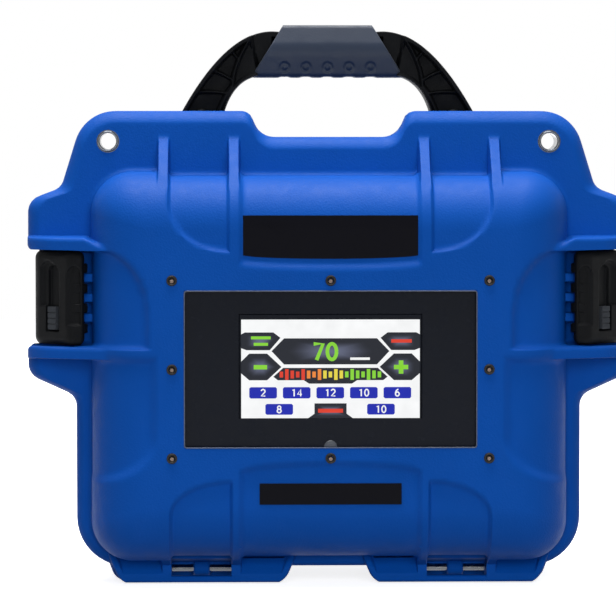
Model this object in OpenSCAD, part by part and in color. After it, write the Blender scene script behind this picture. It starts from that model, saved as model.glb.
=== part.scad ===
// Capacitor discharge stud welder in an upright moulded hard case.
// Millimetres. +X is to the right, +Y to the back, +Z up, and the ground is at zero height.

/* [Case] */
// Width over the latch guards
case_w = 318; // [312:1:340]
// Depth from the panel screw heads to the back of the base
case_d = 152; // [146:1:180]
// Height of the flange shoulders
case_h = 250; // [248:1:262]
// Width of the moulded body inside the flange
body_w = 248; // [244:1:252]
// Height of the underside of the body
body_z = 13; // [12.5:0.5:15]
// Height of the moulded body
body_h = 204; // [200:1:208]
// Radius of the body corners seen from the front
corner_r = 22; // [16:1:28]
// Depth of the lid from its face to the parting line
lid_d = 49; // [46:1:54]
// Rounding of the front edges of the lid
lid_edge_r = 30; // [26:1:32]
// Rounding of the back edges of the base
base_edge_r = 16; // [10:1:20]
// Depth of the moulded scoops and label zones
scoop_d = 2.3; // [1.5:0.1:3]
// Wall thickness under the scoops
wall_t = 3; // [2.6:0.1:4]
// Gap between the closed halves
part_gap = 0.3; // [0.2:0.05:0.6]

/* [Flange] */
// How far the straight lower sides of the flange stand out from the body
flange_out = 9.5; // [8:0.25:12]
// Thickness of the flange on each half
flange_t = 12; // [10:0.5:13]
// Height of the lower edge of the flange
flange_z = 9; // [8.5:0.25:10]
// Radius of the lower corners of the flange
flange_low_r = 26; // [18:1:32]
// How far the shoulders above the latch guards stand out from the body
shoulder_out = 17.5; // [14:0.5:22]
// Height of the shoulders' foot
shoulder_z = 209.5; // [207:0.5:214]
// How far the upper corners stand out from the body before rounding
top_out = 5; // [2:0.5:9]
// Radius of the upper corners
flange_top_r = 22; // [14:1:28]
// Depth of the handle notch in the top edge
notch_d = 13.7; // [8:0.1:16]
// Width of the handle notch at its mouth
notch_mouth_w = 88; // [80:1:96]
// Width of the handle notch at its floor
notch_floor_w = 66; // [50:1:70]
// Radius at the mouth of the handle notch
notch_mouth_r = 7; // [3:0.5:9]
// Radius at the floor of the handle notch
notch_floor_r = 14; // [8:0.5:18]

/* [Latch guards] */
// Height of the middle of the latch bays
latch_z = 151.75; // [149:0.25:154]
// Height of each latch bay between its guards
bay_h = 50.5; // [49:0.5:52]
// Distance of the floor of a bay from the body
bay_out = 4; // [3:0.5:5]
// Height of the upper guard edge
guard_up_h = 26; // [18:1:28]
// Height of the lower guard edge
guard_low_h = 16; // [10:1:20]
// Height of the slope under the lower guard
guard_slope_h = 11.5; // [8:0.5:16]
// Corner radius of the guards
guard_r = 9; // [4:0.5:10]
// Radius in the roots of the guards
guard_root_r = 8; // [4:0.5:10]
// Radius at the mouths of the bays
bay_r = 3; // [1:0.5:4]
// How far the guards reach forward of the flange
guard_reach = 10; // [6:0.5:12]
// How far the guards of the base reach back
guard_back = 18; // [10:1:24]
// Plan radius of the guard fronts
guard_plan_r = 14; // [8:1:16]

/* [Ribs and scoops] */
// Thickness of the moulded ribs and hinge arms
rib_t = 5.3; // [4:0.1:6.5]
// Distance from the middle plane to the inner ribs
rib_in_x = 49; // [47:0.5:51]
// Distance from the middle plane to the outer ribs
rib_out_x = 86; // [84:0.5:90]
// Height of the lowest point of the handle scoops
handle_scoop_z = 177.6; // [172:0.2:184]
// Rise of the arc of the handle scoops
handle_scoop_rise = 25; // [15:1:30]
// Height of the top of the hinge scoops
hinge_scoop_z = 56.5; // [48:0.5:60]
// Drop of the arc of the hinge scoops
hinge_scoop_drop = 18; // [10:1:24]
// Height of the lower edge of the upper label zone
label_zone_z = 169; // [166:0.5:171]
// Bow of that edge
label_zone_bow = 2.6; // [0:0.2:3]
// Height of the upper edge of the lower label zone
low_zone_z = 66; // [62:0.5:67]
// Bow of that edge
low_zone_bow = 5; // [0:0.2:6]
// Width of the latch scoops from the sides of the body
latch_scoop_w = 30; // [24:0.5:33]
// Height at which the arc of the latch scoops starts
latch_scoop_z = 142; // [136:1:150]
// Rise of that arc
latch_scoop_rise = 36; // [28:1:38]
// Width of the lower side scoops from the sides of the body
side_scoop_w = 33; // [24:0.5:33]
// Height at which the arc of the side scoops starts
side_scoop_z = 80; // [74:1:90]
// Drop of that arc
side_scoop_drop = 22.5; // [14:0.5:28]

/* [Hinge] */
// Height of the hinge pins
hinge_z = 6.7; // [6.2:0.1:7.2]
// Radius of the hinge pins
hinge_pin_r = 1.6; // [1.2:0.1:2]
// Width of the middle knuckle of each hinge
knuckle_w = 8.5; // [6:0.5:12]
// Radius of the middle knuckles
knuckle_r = 4.4; // [3.6:0.1:4.6]
// Radius of the ends of the hinge arms
hinge_arm_r = 5.9; // [5:0.1:6]
// Distance from the middle plane to the outer end of a hinge foot
foot_out_x = 113; // [108:0.5:116]
// Distance from the middle plane to the inner end of a hinge foot
foot_in_x = 24; // [18:0.5:30]
// Height of the hinge feet
foot_h = 18; // [14:1:20]
// Lean of the ends of the hinge feet
foot_lean = 7; // [3:0.5:9]
// Corner radius of the hinge feet
foot_r = 5; // [2:0.5:6]
// Width of the skids under the base
skid_w = 9; // [6:0.5:14]
// Distance from the middle plane to the outer skids
skid_out_x = 102; // [96:1:106]
// Distance from the middle plane to the inner skids
skid_in_x = 33; // [31:1:36]
// Length of the skids behind the flange
skid_l = 70; // [50:1:74]

/* [Handle] */
// Height of the handle pivot
handle_z = 236; // [234:0.5:238]
// Thickness of the handle from front to back
handle_t = 22; // [18:0.5:24]
// Distance from the middle plane to the centre of the arm curves
arm_x = 37; // [35:0.5:39]
// Height of the centre of the arm curves
arm_z = 248.5; // [246:0.5:252]
// Outer radius of the arms
arm_out_r = 43; // [41:0.5:45]
// Inner radius of the arms
arm_in_r = 18; // [17:0.5:19]
// Width of the rims of the arms
arm_rim = 4; // [3:0.25:5]
// Depth of the pockets in the arms
arm_pocket_d = 6; // [3:0.5:8]
// Width of the grip along its underside
grip_low_w = 77; // [72:1:80]
// Width of the grip along its top
grip_top_w = 48; // [40:1:56]
// Height of the grip
grip_h = 28; // [26:0.5:30]
// Depth of the grip below the top of the arms
grip_drop = 23.5; // [23:0.25:24]
// Thickness of the grip from front to back
grip_t = 27; // [25:0.5:29]
// Rounding along the grip
grip_r = 7; // [3:0.5:9]
// Height of the bar inside the grip
bar_h = 17; // [12:0.5:18]
// Thickness of the bar inside the grip
bar_t = 14; // [10:0.5:16]
// Radius of the handle pins
handle_pin_r = 3; // [2.4:0.1:3.6]
// Thickness of the ears that hold the handle
ear_t = 4; // [3:0.25:5]
// Radius of the ears round the pins
ear_r = 8; // [6.5:0.5:9]

/* [Latch] */
// Height of the latches
latch_h = 46; // [43:0.5:46.5]
// Distance of the latch pins from the sides of the body
latch_pin_side = 7.5; // [7:0.25:8]
// Distance of the latch pins in front of the flange
latch_pin_out = 14; // [13:0.25:14.5]
// Radius of the latch pins
latch_pin_r = 1.5; // [1.2:0.1:1.8]
// Outer radius of the latch barrels and lugs
barrel_r = 4.6; // [4:0.1:4.8]
// Thickness of the latch lugs on the lid
lug_t = 4.6; // [3.6:0.2:5.4]
// Spacing of the latch lugs
lug_pitch = 10.5; // [9.5:0.25:11.5]
// Distance of the outer faces of the latches from the sides of the body
latch_side = 31; // [30:0.25:32]
// Thickness of the latch plates
latch_t = 7; // [6:0.25:7.5]
// How far the latches reach over the base
latch_reach = 28; // [24:0.5:32]
// Length of the claw along the latch
claw_l = 6; // [4:0.5:8]
// Clearance of the claw from the catch
claw_clear = 0.7; // [0.5:0.1:1.2]
// Width of the catch on the base
catch_w = 11; // [9:0.5:12]
// Thickness of the catch on the base
catch_t = 8; // [5:0.5:9]
// Height of the catch on the base
catch_h = 40; // [30:1:42]
// Width of the lock slot in the latches
slot_w = 7; // [5:0.25:8]
// Depth of the lock slot
slot_d = 3.2; // [2:0.2:3.6]
// Length of the lock slot
slot_l = 34; // [28:1:36]
// Length of the sliding lock
lock_l = 12; // [8:0.5:14]
// Amount that the sliding lock stands proud
lock_proud = 0.6; // [0.2:0.1:1]

/* [Front panel] */
// Height of the middle of the panel
panel_z = 115.5; // [114:0.5:117]
// Width of the window in the lid
window_w = 152; // [144:1:154]
// Height of the window in the lid
window_h = 81.5; // [74:0.5:83]
// Corner radius of the window
window_r = 1; // [0.5:0.25:3]
// How far the black front plate reaches beside the window
plate_side = 13; // [12.5:0.25:14.5]
// How far the black front plate reaches above and below the window
plate_over = 12.25; // [11.75:0.25:14]
// Thickness of the black front plate
plate_t = 2; // [1.5:0.1:2.5]
// Thickness of the lid wall round the window
window_wall = 3.4; // [3.2:0.1:4]
// Thickness of the panel gasket
gasket_t = 0.8; // [0.5:0.1:1.5]
// Width of the gasket land
gasket_w = 12; // [11:0.5:12.5]
// Distance of the screw columns beside the window
screw_side = 6.5; // [6.25:0.25:8]
// Distance of the screw rows above and below the window
screw_over = 5.5; // [5.25:0.25:6.75]
// Radius of the panel screw heads
head_r = 2.8; // [2.5:0.05:3]
// Height of the panel screw heads
head_h = 3; // [2.5:0.1:3.2]
// Amount that the screw heads stand proud of the lid
head_proud = 1.4; // [1:0.1:2]
// Radius of the panel screws
screw_r = 1.5; // [1.25:0.05:1.6]
// Width across the hexagon socket of a screw head
socket_w = 2.5; // [2:0.1:3]
// Depth of the hexagon socket
socket_d = 1.6; // [1:0.1:1.8]
// Width of the lit display
lcd_w = 95; // [90:0.5:97]
// Height of the lit display
lcd_h = 54; // [50:0.5:56]
// Height of the display above the middle of the panel
lcd_up = 1.5; // [0:0.25:3]
// Border of the display module round its lit part
lcd_border = 6; // [5:0.5:8]
// Thickness of the display module
lcd_t = 3; // [2.5:0.1:4]
// Width of the display board
board_w = 122; // [118:1:130]
// Height of the display board
board_h = 80; // [76:1:84]
// Thickness of the circuit boards
board_t = 1.6; // [1:0.1:2]
// Length of the display board standoffs
standoff_l = 9; // [7:0.5:12]
// Radius of the board standoffs
standoff_r = 2.5; // [2:0.25:3]
// Width of the upper label plate
label_w = 91; // [84:1:92]
// Height of the upper label plate
label_h = 22.5; // [16:0.5:23]
// Height of the lower edge of the upper label plate
label_z = 173; // [172.5:0.25:174]
// Thickness of the label plates
label_t = 0.6; // [0.4:0.1:1]
// Width of the lower label plate
low_label_w = 74; // [60:1:80]
// Height of the lower label plate
low_label_h = 11; // [8:0.5:12]
// Height of the lower edge of the lower label plate
low_label_z = 45; // [44:0.25:47]

/* [Seal and eyelets] */
// Width of the case seal
seal_w = 3.6; // [3:0.1:3.8]
// Depth of the seal groove
seal_d = 3.5; // [2.5:0.1:4]
// Land between the cavity and the seal groove
seal_land = 1.2; // [1:0.1:1.4]
// Distance of the padlock eyelets inside the sides of the body
eye_in = 7.5; // [6:0.5:10]
// Height of the padlock eyelets
eye_z = 234; // [230:0.5:236]
// Bore radius of the eyelets
eye_bore_r = 4.3; // [3.5:0.1:4.4]
// Outer radius of the eyelets
eye_r = 5; // [4.9:0.05:5.2]
// Radius of the rims of the eyelets
eye_rim_r = 6; // [5.6:0.1:6.6]
// Thickness of the rims of the eyelets
eye_rim_t = 0.8; // [0.5:0.1:1.2]
// Radius of the pressure valve
valve_r = 9; // [7:0.5:10]
// Height of the pressure valve
valve_h = 3.6; // [2:0.2:4]
// Radius of the threaded end of the pressure valve
valve_thread_r = 5; // [4:0.5:6]
// Distance of the valve behind the handle pivot
valve_back = 18; // [16:0.5:19]

/* [Connector panel] */
// Width of the recess in the back
recess_w = 184; // [180:1:190]
// Height of the recess in the back
recess_h = 62; // [58:1:64]
// Height of the lower edge of the recess
recess_z = 40; // [38:1:42]
// Depth of the recess
recess_d = 17; // [17:0.5:19]
// Wall thickness of the recess
tub_t = 3; // [2.5:0.25:3.5]
// Land round the opening in the floor of the recess
tub_land = 10; // [8:0.5:11]
// Gap round the connector plate
plate_gap = 2; // [1:0.5:3]
// Thickness of the connector plate
conn_t = 2; // [1.5:0.25:2.5]
// Distance from the middle plane to the positive weld socket
pos_x = -62; // [-64:0.5:-60]
// Distance from the middle plane to the negative weld socket
neg_x = -22; // [-24:0.5:-20]
// Distance from the middle plane to the gun control socket
gun_x = 11; // [9:0.5:13]
// Distance from the middle plane to the mains inlet
inlet_x = 42; // [40:0.5:43]
// Distance from the middle plane to the power switch
switch_x = 73; // [72:0.5:74]
// Radius of the weld socket collars
weld_r = 16; // [14:0.5:17]
// Height of the weld socket collars outside the plate
weld_out = 9; // [8:0.5:10]
// Radius of the weld socket bodies behind the plate
weld_in_r = 12; // [10:0.5:13]
// Depth of the weld socket bodies behind the plate
weld_in = 9; // [8:0.5:10]
// Bore radius of the weld sockets
weld_bore_r = 4.6; // [4.3:0.05:6.6]
// Depth of the bore of the weld sockets
weld_bore_l = 16; // [12:0.5:17]
// Outer radius of the weld socket contacts
contact_r = 8; // [7.6:0.1:9]
// Radius of the threaded tails of the contacts
tail_r = 4; // [3:0.25:5]
// Length of the threaded tails of the contacts
tail_l = 10; // [9:0.5:10.5]
// Radius of the gun control socket
gun_r = 8; // [6.5:0.25:9]
// Height of the gun control socket outside the plate
gun_out = 9; // [6:0.5:11]
// Depth of the gun control socket behind the plate
gun_in = 12; // [8:0.5:14]
// Radius of the hexagon flange of the gun control socket
gun_hex_r = 11; // [10:0.5:12]
// Radius of the insert in the gun control socket
gun_insert_r = 6; // [5:0.25:6.25]
// Radius of the contact holes in the insert
gun_hole_r = 0.9; // [0.6:0.05:1.2]
// Width of the mains inlet body
inlet_w = 28; // [27:0.5:29]
// Height of the mains inlet body
inlet_h = 20; // [19:0.5:21]
// Depth of the mains inlet body behind the plate
inlet_in = 14; // [12:0.5:15]
// Width of the border of the mains inlet
inlet_rim = 2.5; // [2:0.25:3]
// Thickness of the border of the mains inlet
inlet_rim_t = 3; // [2:0.5:4]
// Wall of the mains inlet
inlet_wall = 1.8; // [1.4:0.1:2]
// Distance from the earth blade to the other two across the inlet
blade_x = 7; // [6.5:0.25:7.5]
// Height between the earth blade and the other two
blade_z = 4; // [3.5:0.25:4.5]
// Height of a mains blade
blade_h = 4; // [3.5:0.25:4.5]
// Thickness of a mains blade
blade_t = 2; // [1.5:0.1:2.2]
// Width of the power switch frame
switch_w = 21; // [20:0.5:22]
// Height of the power switch frame
switch_h = 30; // [28:0.5:32]
// Depth of the power switch frame behind the plate
switch_in = 13; // [12:0.5:14]
// Border of the power switch frame
switch_rim = 2.2; // [2:0.1:3]
// Thickness of the border of the power switch frame
switch_rim_t = 2.5; // [2:0.25:3]
// Tilt of the power switch rocker
rocker_tilt = 9; // [6:0.5:11]
// Radius of the power switch axle
axle_r = 1.5; // [1:0.1:2]
// Radius of the connector plate screws
conn_screw_r = 1.5; // [1.25:0.05:1.6]
// Distance of the connector plate screws from the plate's edges
conn_screw_in = 4; // [3.5:0.25:5]

/* [Chassis] */
// Thickness of the chassis sheet
chassis_t = 2; // [1.5:0.25:2.5]
// Distance of the edges of the chassis inside the sides of the body
chassis_side = 13; // [12:0.5:16]
// Height of the lower shelf
shelf_z = 24; // [23:0.5:26]
// Height of the capacitor shelf above the lower shelf
cap_shelf_up = 80; // [78:0.5:82]
// Height of the chassis back plate
chassis_h = 182; // [178:1:184]
// Gap between the chassis and the connector recess
chassis_gap = 2; // [1:0.5:3]
// Length of the lower shelf in front of the back plate
shelf_l = 70; // [68:1:72]
// Distance of the chassis screws from the sides of the chassis
boss_side = 10; // [9:0.5:12]
// Distance of the chassis screws from the ends of the back plate
boss_in = 12; // [11:0.5:14]
// Radius of the chassis bosses
boss_r = 5; // [4:0.5:6]
// Radius of the chassis screws
boss_screw_r = 2; // [1.5:0.1:2.5]
// Radius of a capacitor can
can_r = 25; // [23:0.25:25.5]
// Length of a capacitor can
can_l = 86; // [78:1:87]
// Spacing of the capacitor cans
can_pitch = 52; // [51.5:0.25:52.5]
// Gap between the cans and the chassis
can_gap = 0.6; // [0.4:0.1:1]
// Radius of a capacitor terminal
terminal_r = 5; // [4:0.25:6]
// Height of a capacitor terminal
terminal_h = 4; // [3:0.5:5]
// Distance of the terminals from the axis of a can
terminal_off = 11; // [10:0.25:12]
// Width of the copper bars
bar_w = 14; // [12:0.5:16]
// Thickness of the copper bars
copper_t = 3; // [2:0.25:3.5]
// Radius of the copper bar screws
bar_screw_r = 4.5; // [4:0.25:5.5]
// Height of the copper bar screw heads
bar_screw_h = 3; // [2:0.25:4]
// Height of the middle of the capacitor clamp
clamp_up = 40; // [30:1:60]
// Height of the capacitor clamp band
clamp_h = 14; // [10:1:20]
// Width of the transformer
core_w = 54; // [48:1:56]
// Depth of the transformer
core_d = 36; // [30:1:38]
// Height of the transformer
core_h = 48; // [40:1:52]
// Width of the winding on the transformer
coil_w = 30; // [24:1:34]
// Overhang of the winding in front of and behind the core
coil_out = 4; // [2:0.5:5]
// Distance from the middle plane to the transformer
core_x = -77; // [-79:0.5:-76]
// Distance from the middle plane to the heat sink
sink_x = 8; // [6:0.5:10]
// Width of the heat sink
sink_w = 96; // [92:1:98]
// Depth of the heat sink
sink_d = 36; // [30:1:38]
// Height of the heat sink
sink_h = 30; // [24:1:32]
// Thickness of the heat sink plate
sink_plate = 6; // [5:0.5:8]
// Thickness of a heat sink fin
fin_t = 2; // [1.5:0.25:3]
// Number of heat sink fins
fin_n = 11; // [7:1:13]
// Width of the thyristor module
scr_w = 88; // [80:1:90]
// Depth of the thyristor module
scr_d = 22; // [18:1:26]
// Height of the thyristor module
scr_h = 26; // [24:0.5:28]
// Distance from the middle plane to the relay
relay_x = 80; // [79:0.5:82]
// Width of the relay
relay_w = 30; // [26:1:32]
// Depth of the relay
relay_d = 34; // [30:1:36]
// Height of the relay
relay_h = 36; // [30:1:40]
// Gap in front of the back plate kept for the socket tails
tail_room = 18; // [16:0.5:20]
// Distance from the middle plane to the charger board
charger_x = 52; // [48:1:54]
// Width of the charger board
charger_w = 104; // [96:1:108]
// Height of the charger board
charger_h = 66; // [60:1:70]
// Gap between the charger board and the heat sink
charger_gap = 7; // [6:0.5:8]
// Length of the bleed resistor
bleed_l = 56; // [48:1:60]
// Section of the bleed resistor
bleed_s = 14; // [10:0.5:15]
// Height of the bleed resistor above the lower shelf
bleed_up = 58; // [56:0.5:62]

/* [Fits] */
// Clearance round pins that turn
run_clear = 0.05; // [0.02:0.01:0.1]
// Gap beside moving pieces
side_clear = 0.7; // [0.5:0.1:1]
// Clearance round pieces that swing or slide
swing_clear = 0.4; // [0.3:0.05:0.6]
// Clearance of screws in plain holes
hole_clear = 0.2; // [0.1:0.05:0.4]
// Clearance of pieces set in pockets
pocket_clear = 0.2; // [0.1:0.05:0.4]

/* [Hidden] */
overrun = 1;
arc_steps = 8;
$fn = 48;

front_y = -case_d / 2;
back_y = case_d / 2;
face_y = front_y + head_proud;
part_y = face_y + lid_d;
lid_back_y = part_y - part_gap / 2;
base_front_y = part_y + part_gap / 2;
lid_flange_y = part_y - flange_t;
base_flange_y = part_y + flange_t;
body_x = body_w / 2;
body_top = body_z + body_h;
cavity_in = scoop_d + wall_t;
guard_x = case_w / 2;
bay_x = body_x + bay_out;
notch_z = case_h - notch_d;
eye_x = body_x - eye_in;
bay_low = latch_z - bay_h / 2;
bay_high = latch_z + bay_h / 2;
diagonal_share = sqrt(2) / 2;
edge_bite = lid_edge_r * (1 - diagonal_share);

hinge_x = (rib_in_x + rib_out_x) / 2;
hinge_span = rib_out_x - rib_in_x + rib_t;

handle_y = base_flange_y + side_clear + handle_t / 2;
arm_top = arm_z + arm_out_r;
grip_z = arm_top - grip_drop;
arm_low_x = arm_x + arm_in_r;
arm_high_x = arm_x + arm_out_r;

latch_pin_x = body_x + latch_pin_side;
latch_pin_y = lid_flange_y - latch_pin_out;
latch_out_x = body_x + latch_side;
catch_y = base_front_y + catch_t;
claw_y = catch_y + side_clear;
claw_x = body_x + catch_w + claw_clear;
latch_front_y = latch_pin_y - barrel_r - lock_proud;
latch_end_y = part_y + latch_reach;
slope_x = latch_pin_x + barrel_r;
slope_y = latch_front_y + (latch_out_x - slope_x);

plate_w = window_w + 2 * plate_side;
plate_h = window_h + 2 * plate_over;
screw_span_w = window_w + 2 * screw_side;
screw_span_h = window_h + 2 * screw_over;
window_back_y = face_y + window_wall;
plate_y = window_back_y + gasket_t;
plate_back_y = plate_y + plate_t;
lcd_z = panel_z + lcd_up;
lcd_back_y = plate_back_y + lcd_t;
board_y = plate_back_y + standoff_l;

recess_y = back_y - recess_d;
tub_in_y = recess_y - tub_t;
conn_y = recess_y + conn_t;
conn_z = recess_z + recess_h / 2;
chassis_w = body_w - 2 * chassis_side;
boss_x = chassis_w / 2 - boss_side;
chassis_back_y = tub_in_y - chassis_gap;
chassis_y = chassis_back_y - chassis_t;
shelf_top = shelf_z + chassis_t;
shelf_front_y = chassis_y - shelf_l;
cap_z = shelf_z + cap_shelf_up;
can_y = chassis_y - can_gap - can_r;
bus_z = cap_z + can_l + terminal_h;
parts_back_y = chassis_y - tail_room;
sink_top = shelf_top + sink_h;
scr_top = sink_top + scr_h;
strap_y = tub_in_y - tail_l - copper_t / 2;
side_bar_x = chassis_w / 2 - copper_t - side_clear;
charger_y = parts_back_y - sink_d - charger_gap;

// Shapes

function unit(v) = v / norm(v);

// One corner of an outline, given as [x, y, radius], between its neighbours.
function corner(p, q, s) =
    let (
        at = [q.x, q.y],
        a = unit([p.x, p.y] - at),
        b = unit([s.x, s.y] - at),
        half = acos(max(-1, min(1, a * b))) / 2,
        centre = at + unit(a + b) * q[2] / sin(half),
        from = at + a * q[2] / tan(half) - centre,
        to = at + b * q[2] / tan(half) - centre,
        start = atan2(from.y, from.x),
        sweep = (atan2(to.y, to.x) - start + 540) % 360 - 180
    )
    q[2] == 0 ? [at] : [for (i = [0 : arc_steps])
        let (turn = start + sweep * i / arc_steps) centre + q[2] * [cos(turn), sin(turn)]];

function rounded(points) =
    let (n = len(points))
    [for (i = [0 : n - 1]) each corner(points[(i + n - 1) % n], points[i], points[(i + 1) % n])];

function mirrored(half) =
    concat(half, [for (i = [len(half) - 1 : -1 : 0]) [-half[i].x, half[i].y, half[i][2]]]);

function arc(centre, rx, ry, start, end) =
    [for (i = [0 : arc_steps])
        let (turn = start + (end - start) * i / arc_steps) centre + [rx * cos(turn), ry * sin(turn)]];

function box_outline(w, low, high, r) =
    rounded([[w / 2, low, r], [w / 2, high, r], [-w / 2, high, r], [-w / 2, low, r]]);

function body_outline(inset) =
    box_outline(body_w - 2 * inset, body_z + inset, body_top - inset, corner_r - inset);

// The flange outline, with a deeper latch bay where asked.
function flange_outline(bay_grow) = rounded(mirrored([
    [body_x + flange_out, flange_z, flange_low_r],
    [body_x + flange_out, bay_low - guard_low_h - guard_slope_h, guard_root_r],
    [guard_x, bay_low - guard_low_h, guard_r],
    [guard_x, bay_low - bay_grow, bay_r],
    [bay_x, bay_low - bay_grow, 0],
    [bay_x, bay_high + bay_grow, 0],
    [guard_x, bay_high + bay_grow, bay_r],
    [guard_x, bay_high + guard_up_h, guard_r],
    [body_x + shoulder_out, shoulder_z, guard_root_r],
    [body_x + top_out, case_h, flange_top_r],
    [notch_mouth_w / 2, case_h, notch_mouth_r],
    [notch_floor_w / 2, notch_z, notch_floor_r]]));

module along_x(low, high)
    translate([low, 0, 0]) rotate([90, 0, 90]) linear_extrude(high - low) children();

module along_y(low, high)
    translate([0, high, 0]) rotate([90, 0, 0]) linear_extrude(high - low) children();

module along_z(low, high)
    translate([0, 0, low]) linear_extrude(high - low) children();

module rod_x(low, high, y, z, r)
    translate([low, y, z]) rotate([0, 90, 0]) cylinder(h = high - low, r = r);

module rod_y(x, low, high, z, r)
    translate([x, high, z]) rotate([90, 0, 0]) cylinder(h = high - low, r = r);

module rod_z(x, y, low, high, r)
    translate([x, y, low]) cylinder(h = high - low, r = r);

module block(low, high)
    translate(low) cube(high - low);

module both_sides() {
    children();
    mirror([1, 0, 0]) children();
}

// Lid and base bodies

module pillow(inset, open_y, end_y, r) {
    low_y = min(open_y, end_y);
    high_y = max(open_y, end_y);
    half = body_x - inset;
    intersection() {
        along_y(low_y, high_y) polygon(body_outline(inset));
        along_z(0, case_h) polygon(rounded(
            [[half, open_y, 0], [half, end_y, r], [-half, end_y, r], [-half, open_y, 0]]));
        along_x(-body_w, body_w) polygon(rounded([[open_y, body_top - inset, 0], [end_y, body_top - inset, r],
            [end_y, body_z + inset, r], [open_y, body_z + inset, 0]]));
    }
}

module lid_pillow(inset, open_y)
    pillow(inset, open_y, face_y + inset, lid_edge_r - inset);

module base_pillow(inset, open_y)
    pillow(inset, open_y, back_y - inset, base_edge_r - inset / 2);

// Outlines of the scoops in the lid, on the right and in the middle.
module lid_scoops() {
    in_x = rib_in_x + rib_t / 2;
    out_x = rib_out_x - rib_t / 2;
    zone_x = rib_in_x - rib_t / 2;
    both_sides() {
        polygon(concat([[in_x, case_h]],
            arc([in_x, handle_scoop_z + handle_scoop_rise], out_x - in_x, handle_scoop_rise, -90, 0),
            [[out_x, case_h]]));
        polygon(concat([[in_x, 0]],
            arc([in_x, hinge_scoop_z - hinge_scoop_drop], out_x - in_x, hinge_scoop_drop, 90, 0),
            [[out_x, 0]]));
        polygon(concat([[body_x, bay_low], [body_x - latch_scoop_w, bay_low]],
            arc([body_x, latch_scoop_z], latch_scoop_w, latch_scoop_rise, 180, 90)));
        polygon(concat([[body_x, bay_low - rib_t], [body_x - side_scoop_w, bay_low - rib_t]],
            arc([body_x, side_scoop_z], side_scoop_w, side_scoop_drop, 180, 270)));
    }
    polygon(concat([[-zone_x, case_h], [-zone_x, label_zone_z + label_zone_bow]],
        arc([0, label_zone_z + label_zone_bow], zone_x, label_zone_bow, 180, 360), [[zone_x, case_h]]));
    polygon(concat([[-zone_x, 0], [-zone_x, low_zone_z - low_zone_bow]],
        arc([0, low_zone_z - low_zone_bow], zone_x, low_zone_bow, 180, 0), [[zone_x, 0]]));
}

// The shoulders of the flange on both sides of the handle notch, with room round the padlock eyelets.
module shoulder_zone() both_sides() polygon([
    [0, notch_z], [eye_x - 2 * eye_rim_r, notch_z], [eye_x - 2 * eye_rim_r, eye_z - 2 * eye_rim_r],
    [guard_x, eye_z - 2 * eye_rim_r], [guard_x, case_h + overrun], [0, case_h + overrun]]);

module flange_ring(grow) difference() {
    polygon(flange_outline(grow));
    shoulder_zone();
}

module shoulders(grow, low, high) difference() {
    along_y(low, high) intersection() {
        polygon(flange_outline(grow));
        shoulder_zone();
    }
    both_sides() rod_y(eye_x, low - overrun, high + overrun, eye_z, eye_r + pocket_clear);
}

// Ribs that brace the top of the lid against its flange.
module lid_gusset(x) {
    tip_y = face_y + edge_bite;
    tip_z = body_top - edge_bite;
    along_x(x - rib_t / 2, x + rib_t / 2) polygon([
        [lid_back_y, tip_z - edge_bite], [lid_back_y, tip_z], [lid_flange_y, notch_z],
        [tip_y, tip_z], [tip_y + edge_bite, tip_z - edge_bite]]);
}

// Arms that carry the lid on the hinge pins.
module hinge_arm(x) {
    tip_y = face_y + edge_bite;
    tip_z = body_z + edge_bite;
    along_x(x - rib_t / 2, x + rib_t / 2) polygon(concat(
        arc([part_y, hinge_z], hinge_arm_r, hinge_arm_r, 90, -90),
        [[tip_y, tip_z], [tip_y + edge_bite, tip_z + edge_bite], [lid_back_y, tip_z + edge_bite]]));
}

module lid_guard(low, high)
    along_z(low, high) polygon(rounded([
        [bay_x - flange_t, lid_back_y, 0], [guard_x, lid_back_y, 0],
        [guard_x, lid_flange_y - guard_reach, guard_plan_r],
        [body_x - edge_bite, face_y + edge_bite, 0],
        [body_x - edge_bite - wall_t, face_y + edge_bite + wall_t, 0]]));

module base_guard(low, high)
    along_z(low, high) polygon(rounded([
        [bay_x - flange_t, base_front_y, 0], [guard_x, base_front_y, 0],
        [guard_x, base_front_y + guard_back, guard_plan_r],
        [body_x - wall_t, base_front_y + 2 * guard_back, 0]]));

module latch_lug(z)
    along_z(z - lug_t / 2, z + lug_t / 2) polygon(concat(
        arc([latch_pin_x, latch_pin_y], barrel_r, barrel_r, -90, 90),
        [[body_x - cavity_in + overrun, latch_pin_y + barrel_r],
         [body_x - cavity_in + overrun, latch_pin_y - barrel_r]]));

module screw_places() {
    for (i = [-1 : 1])
        for (j = [-1 : 1])
            if (i != 0 || j != 0)
                translate([i * screw_span_w / 2, 0, panel_z + j * screw_span_h / 2]) children();
}

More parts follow.
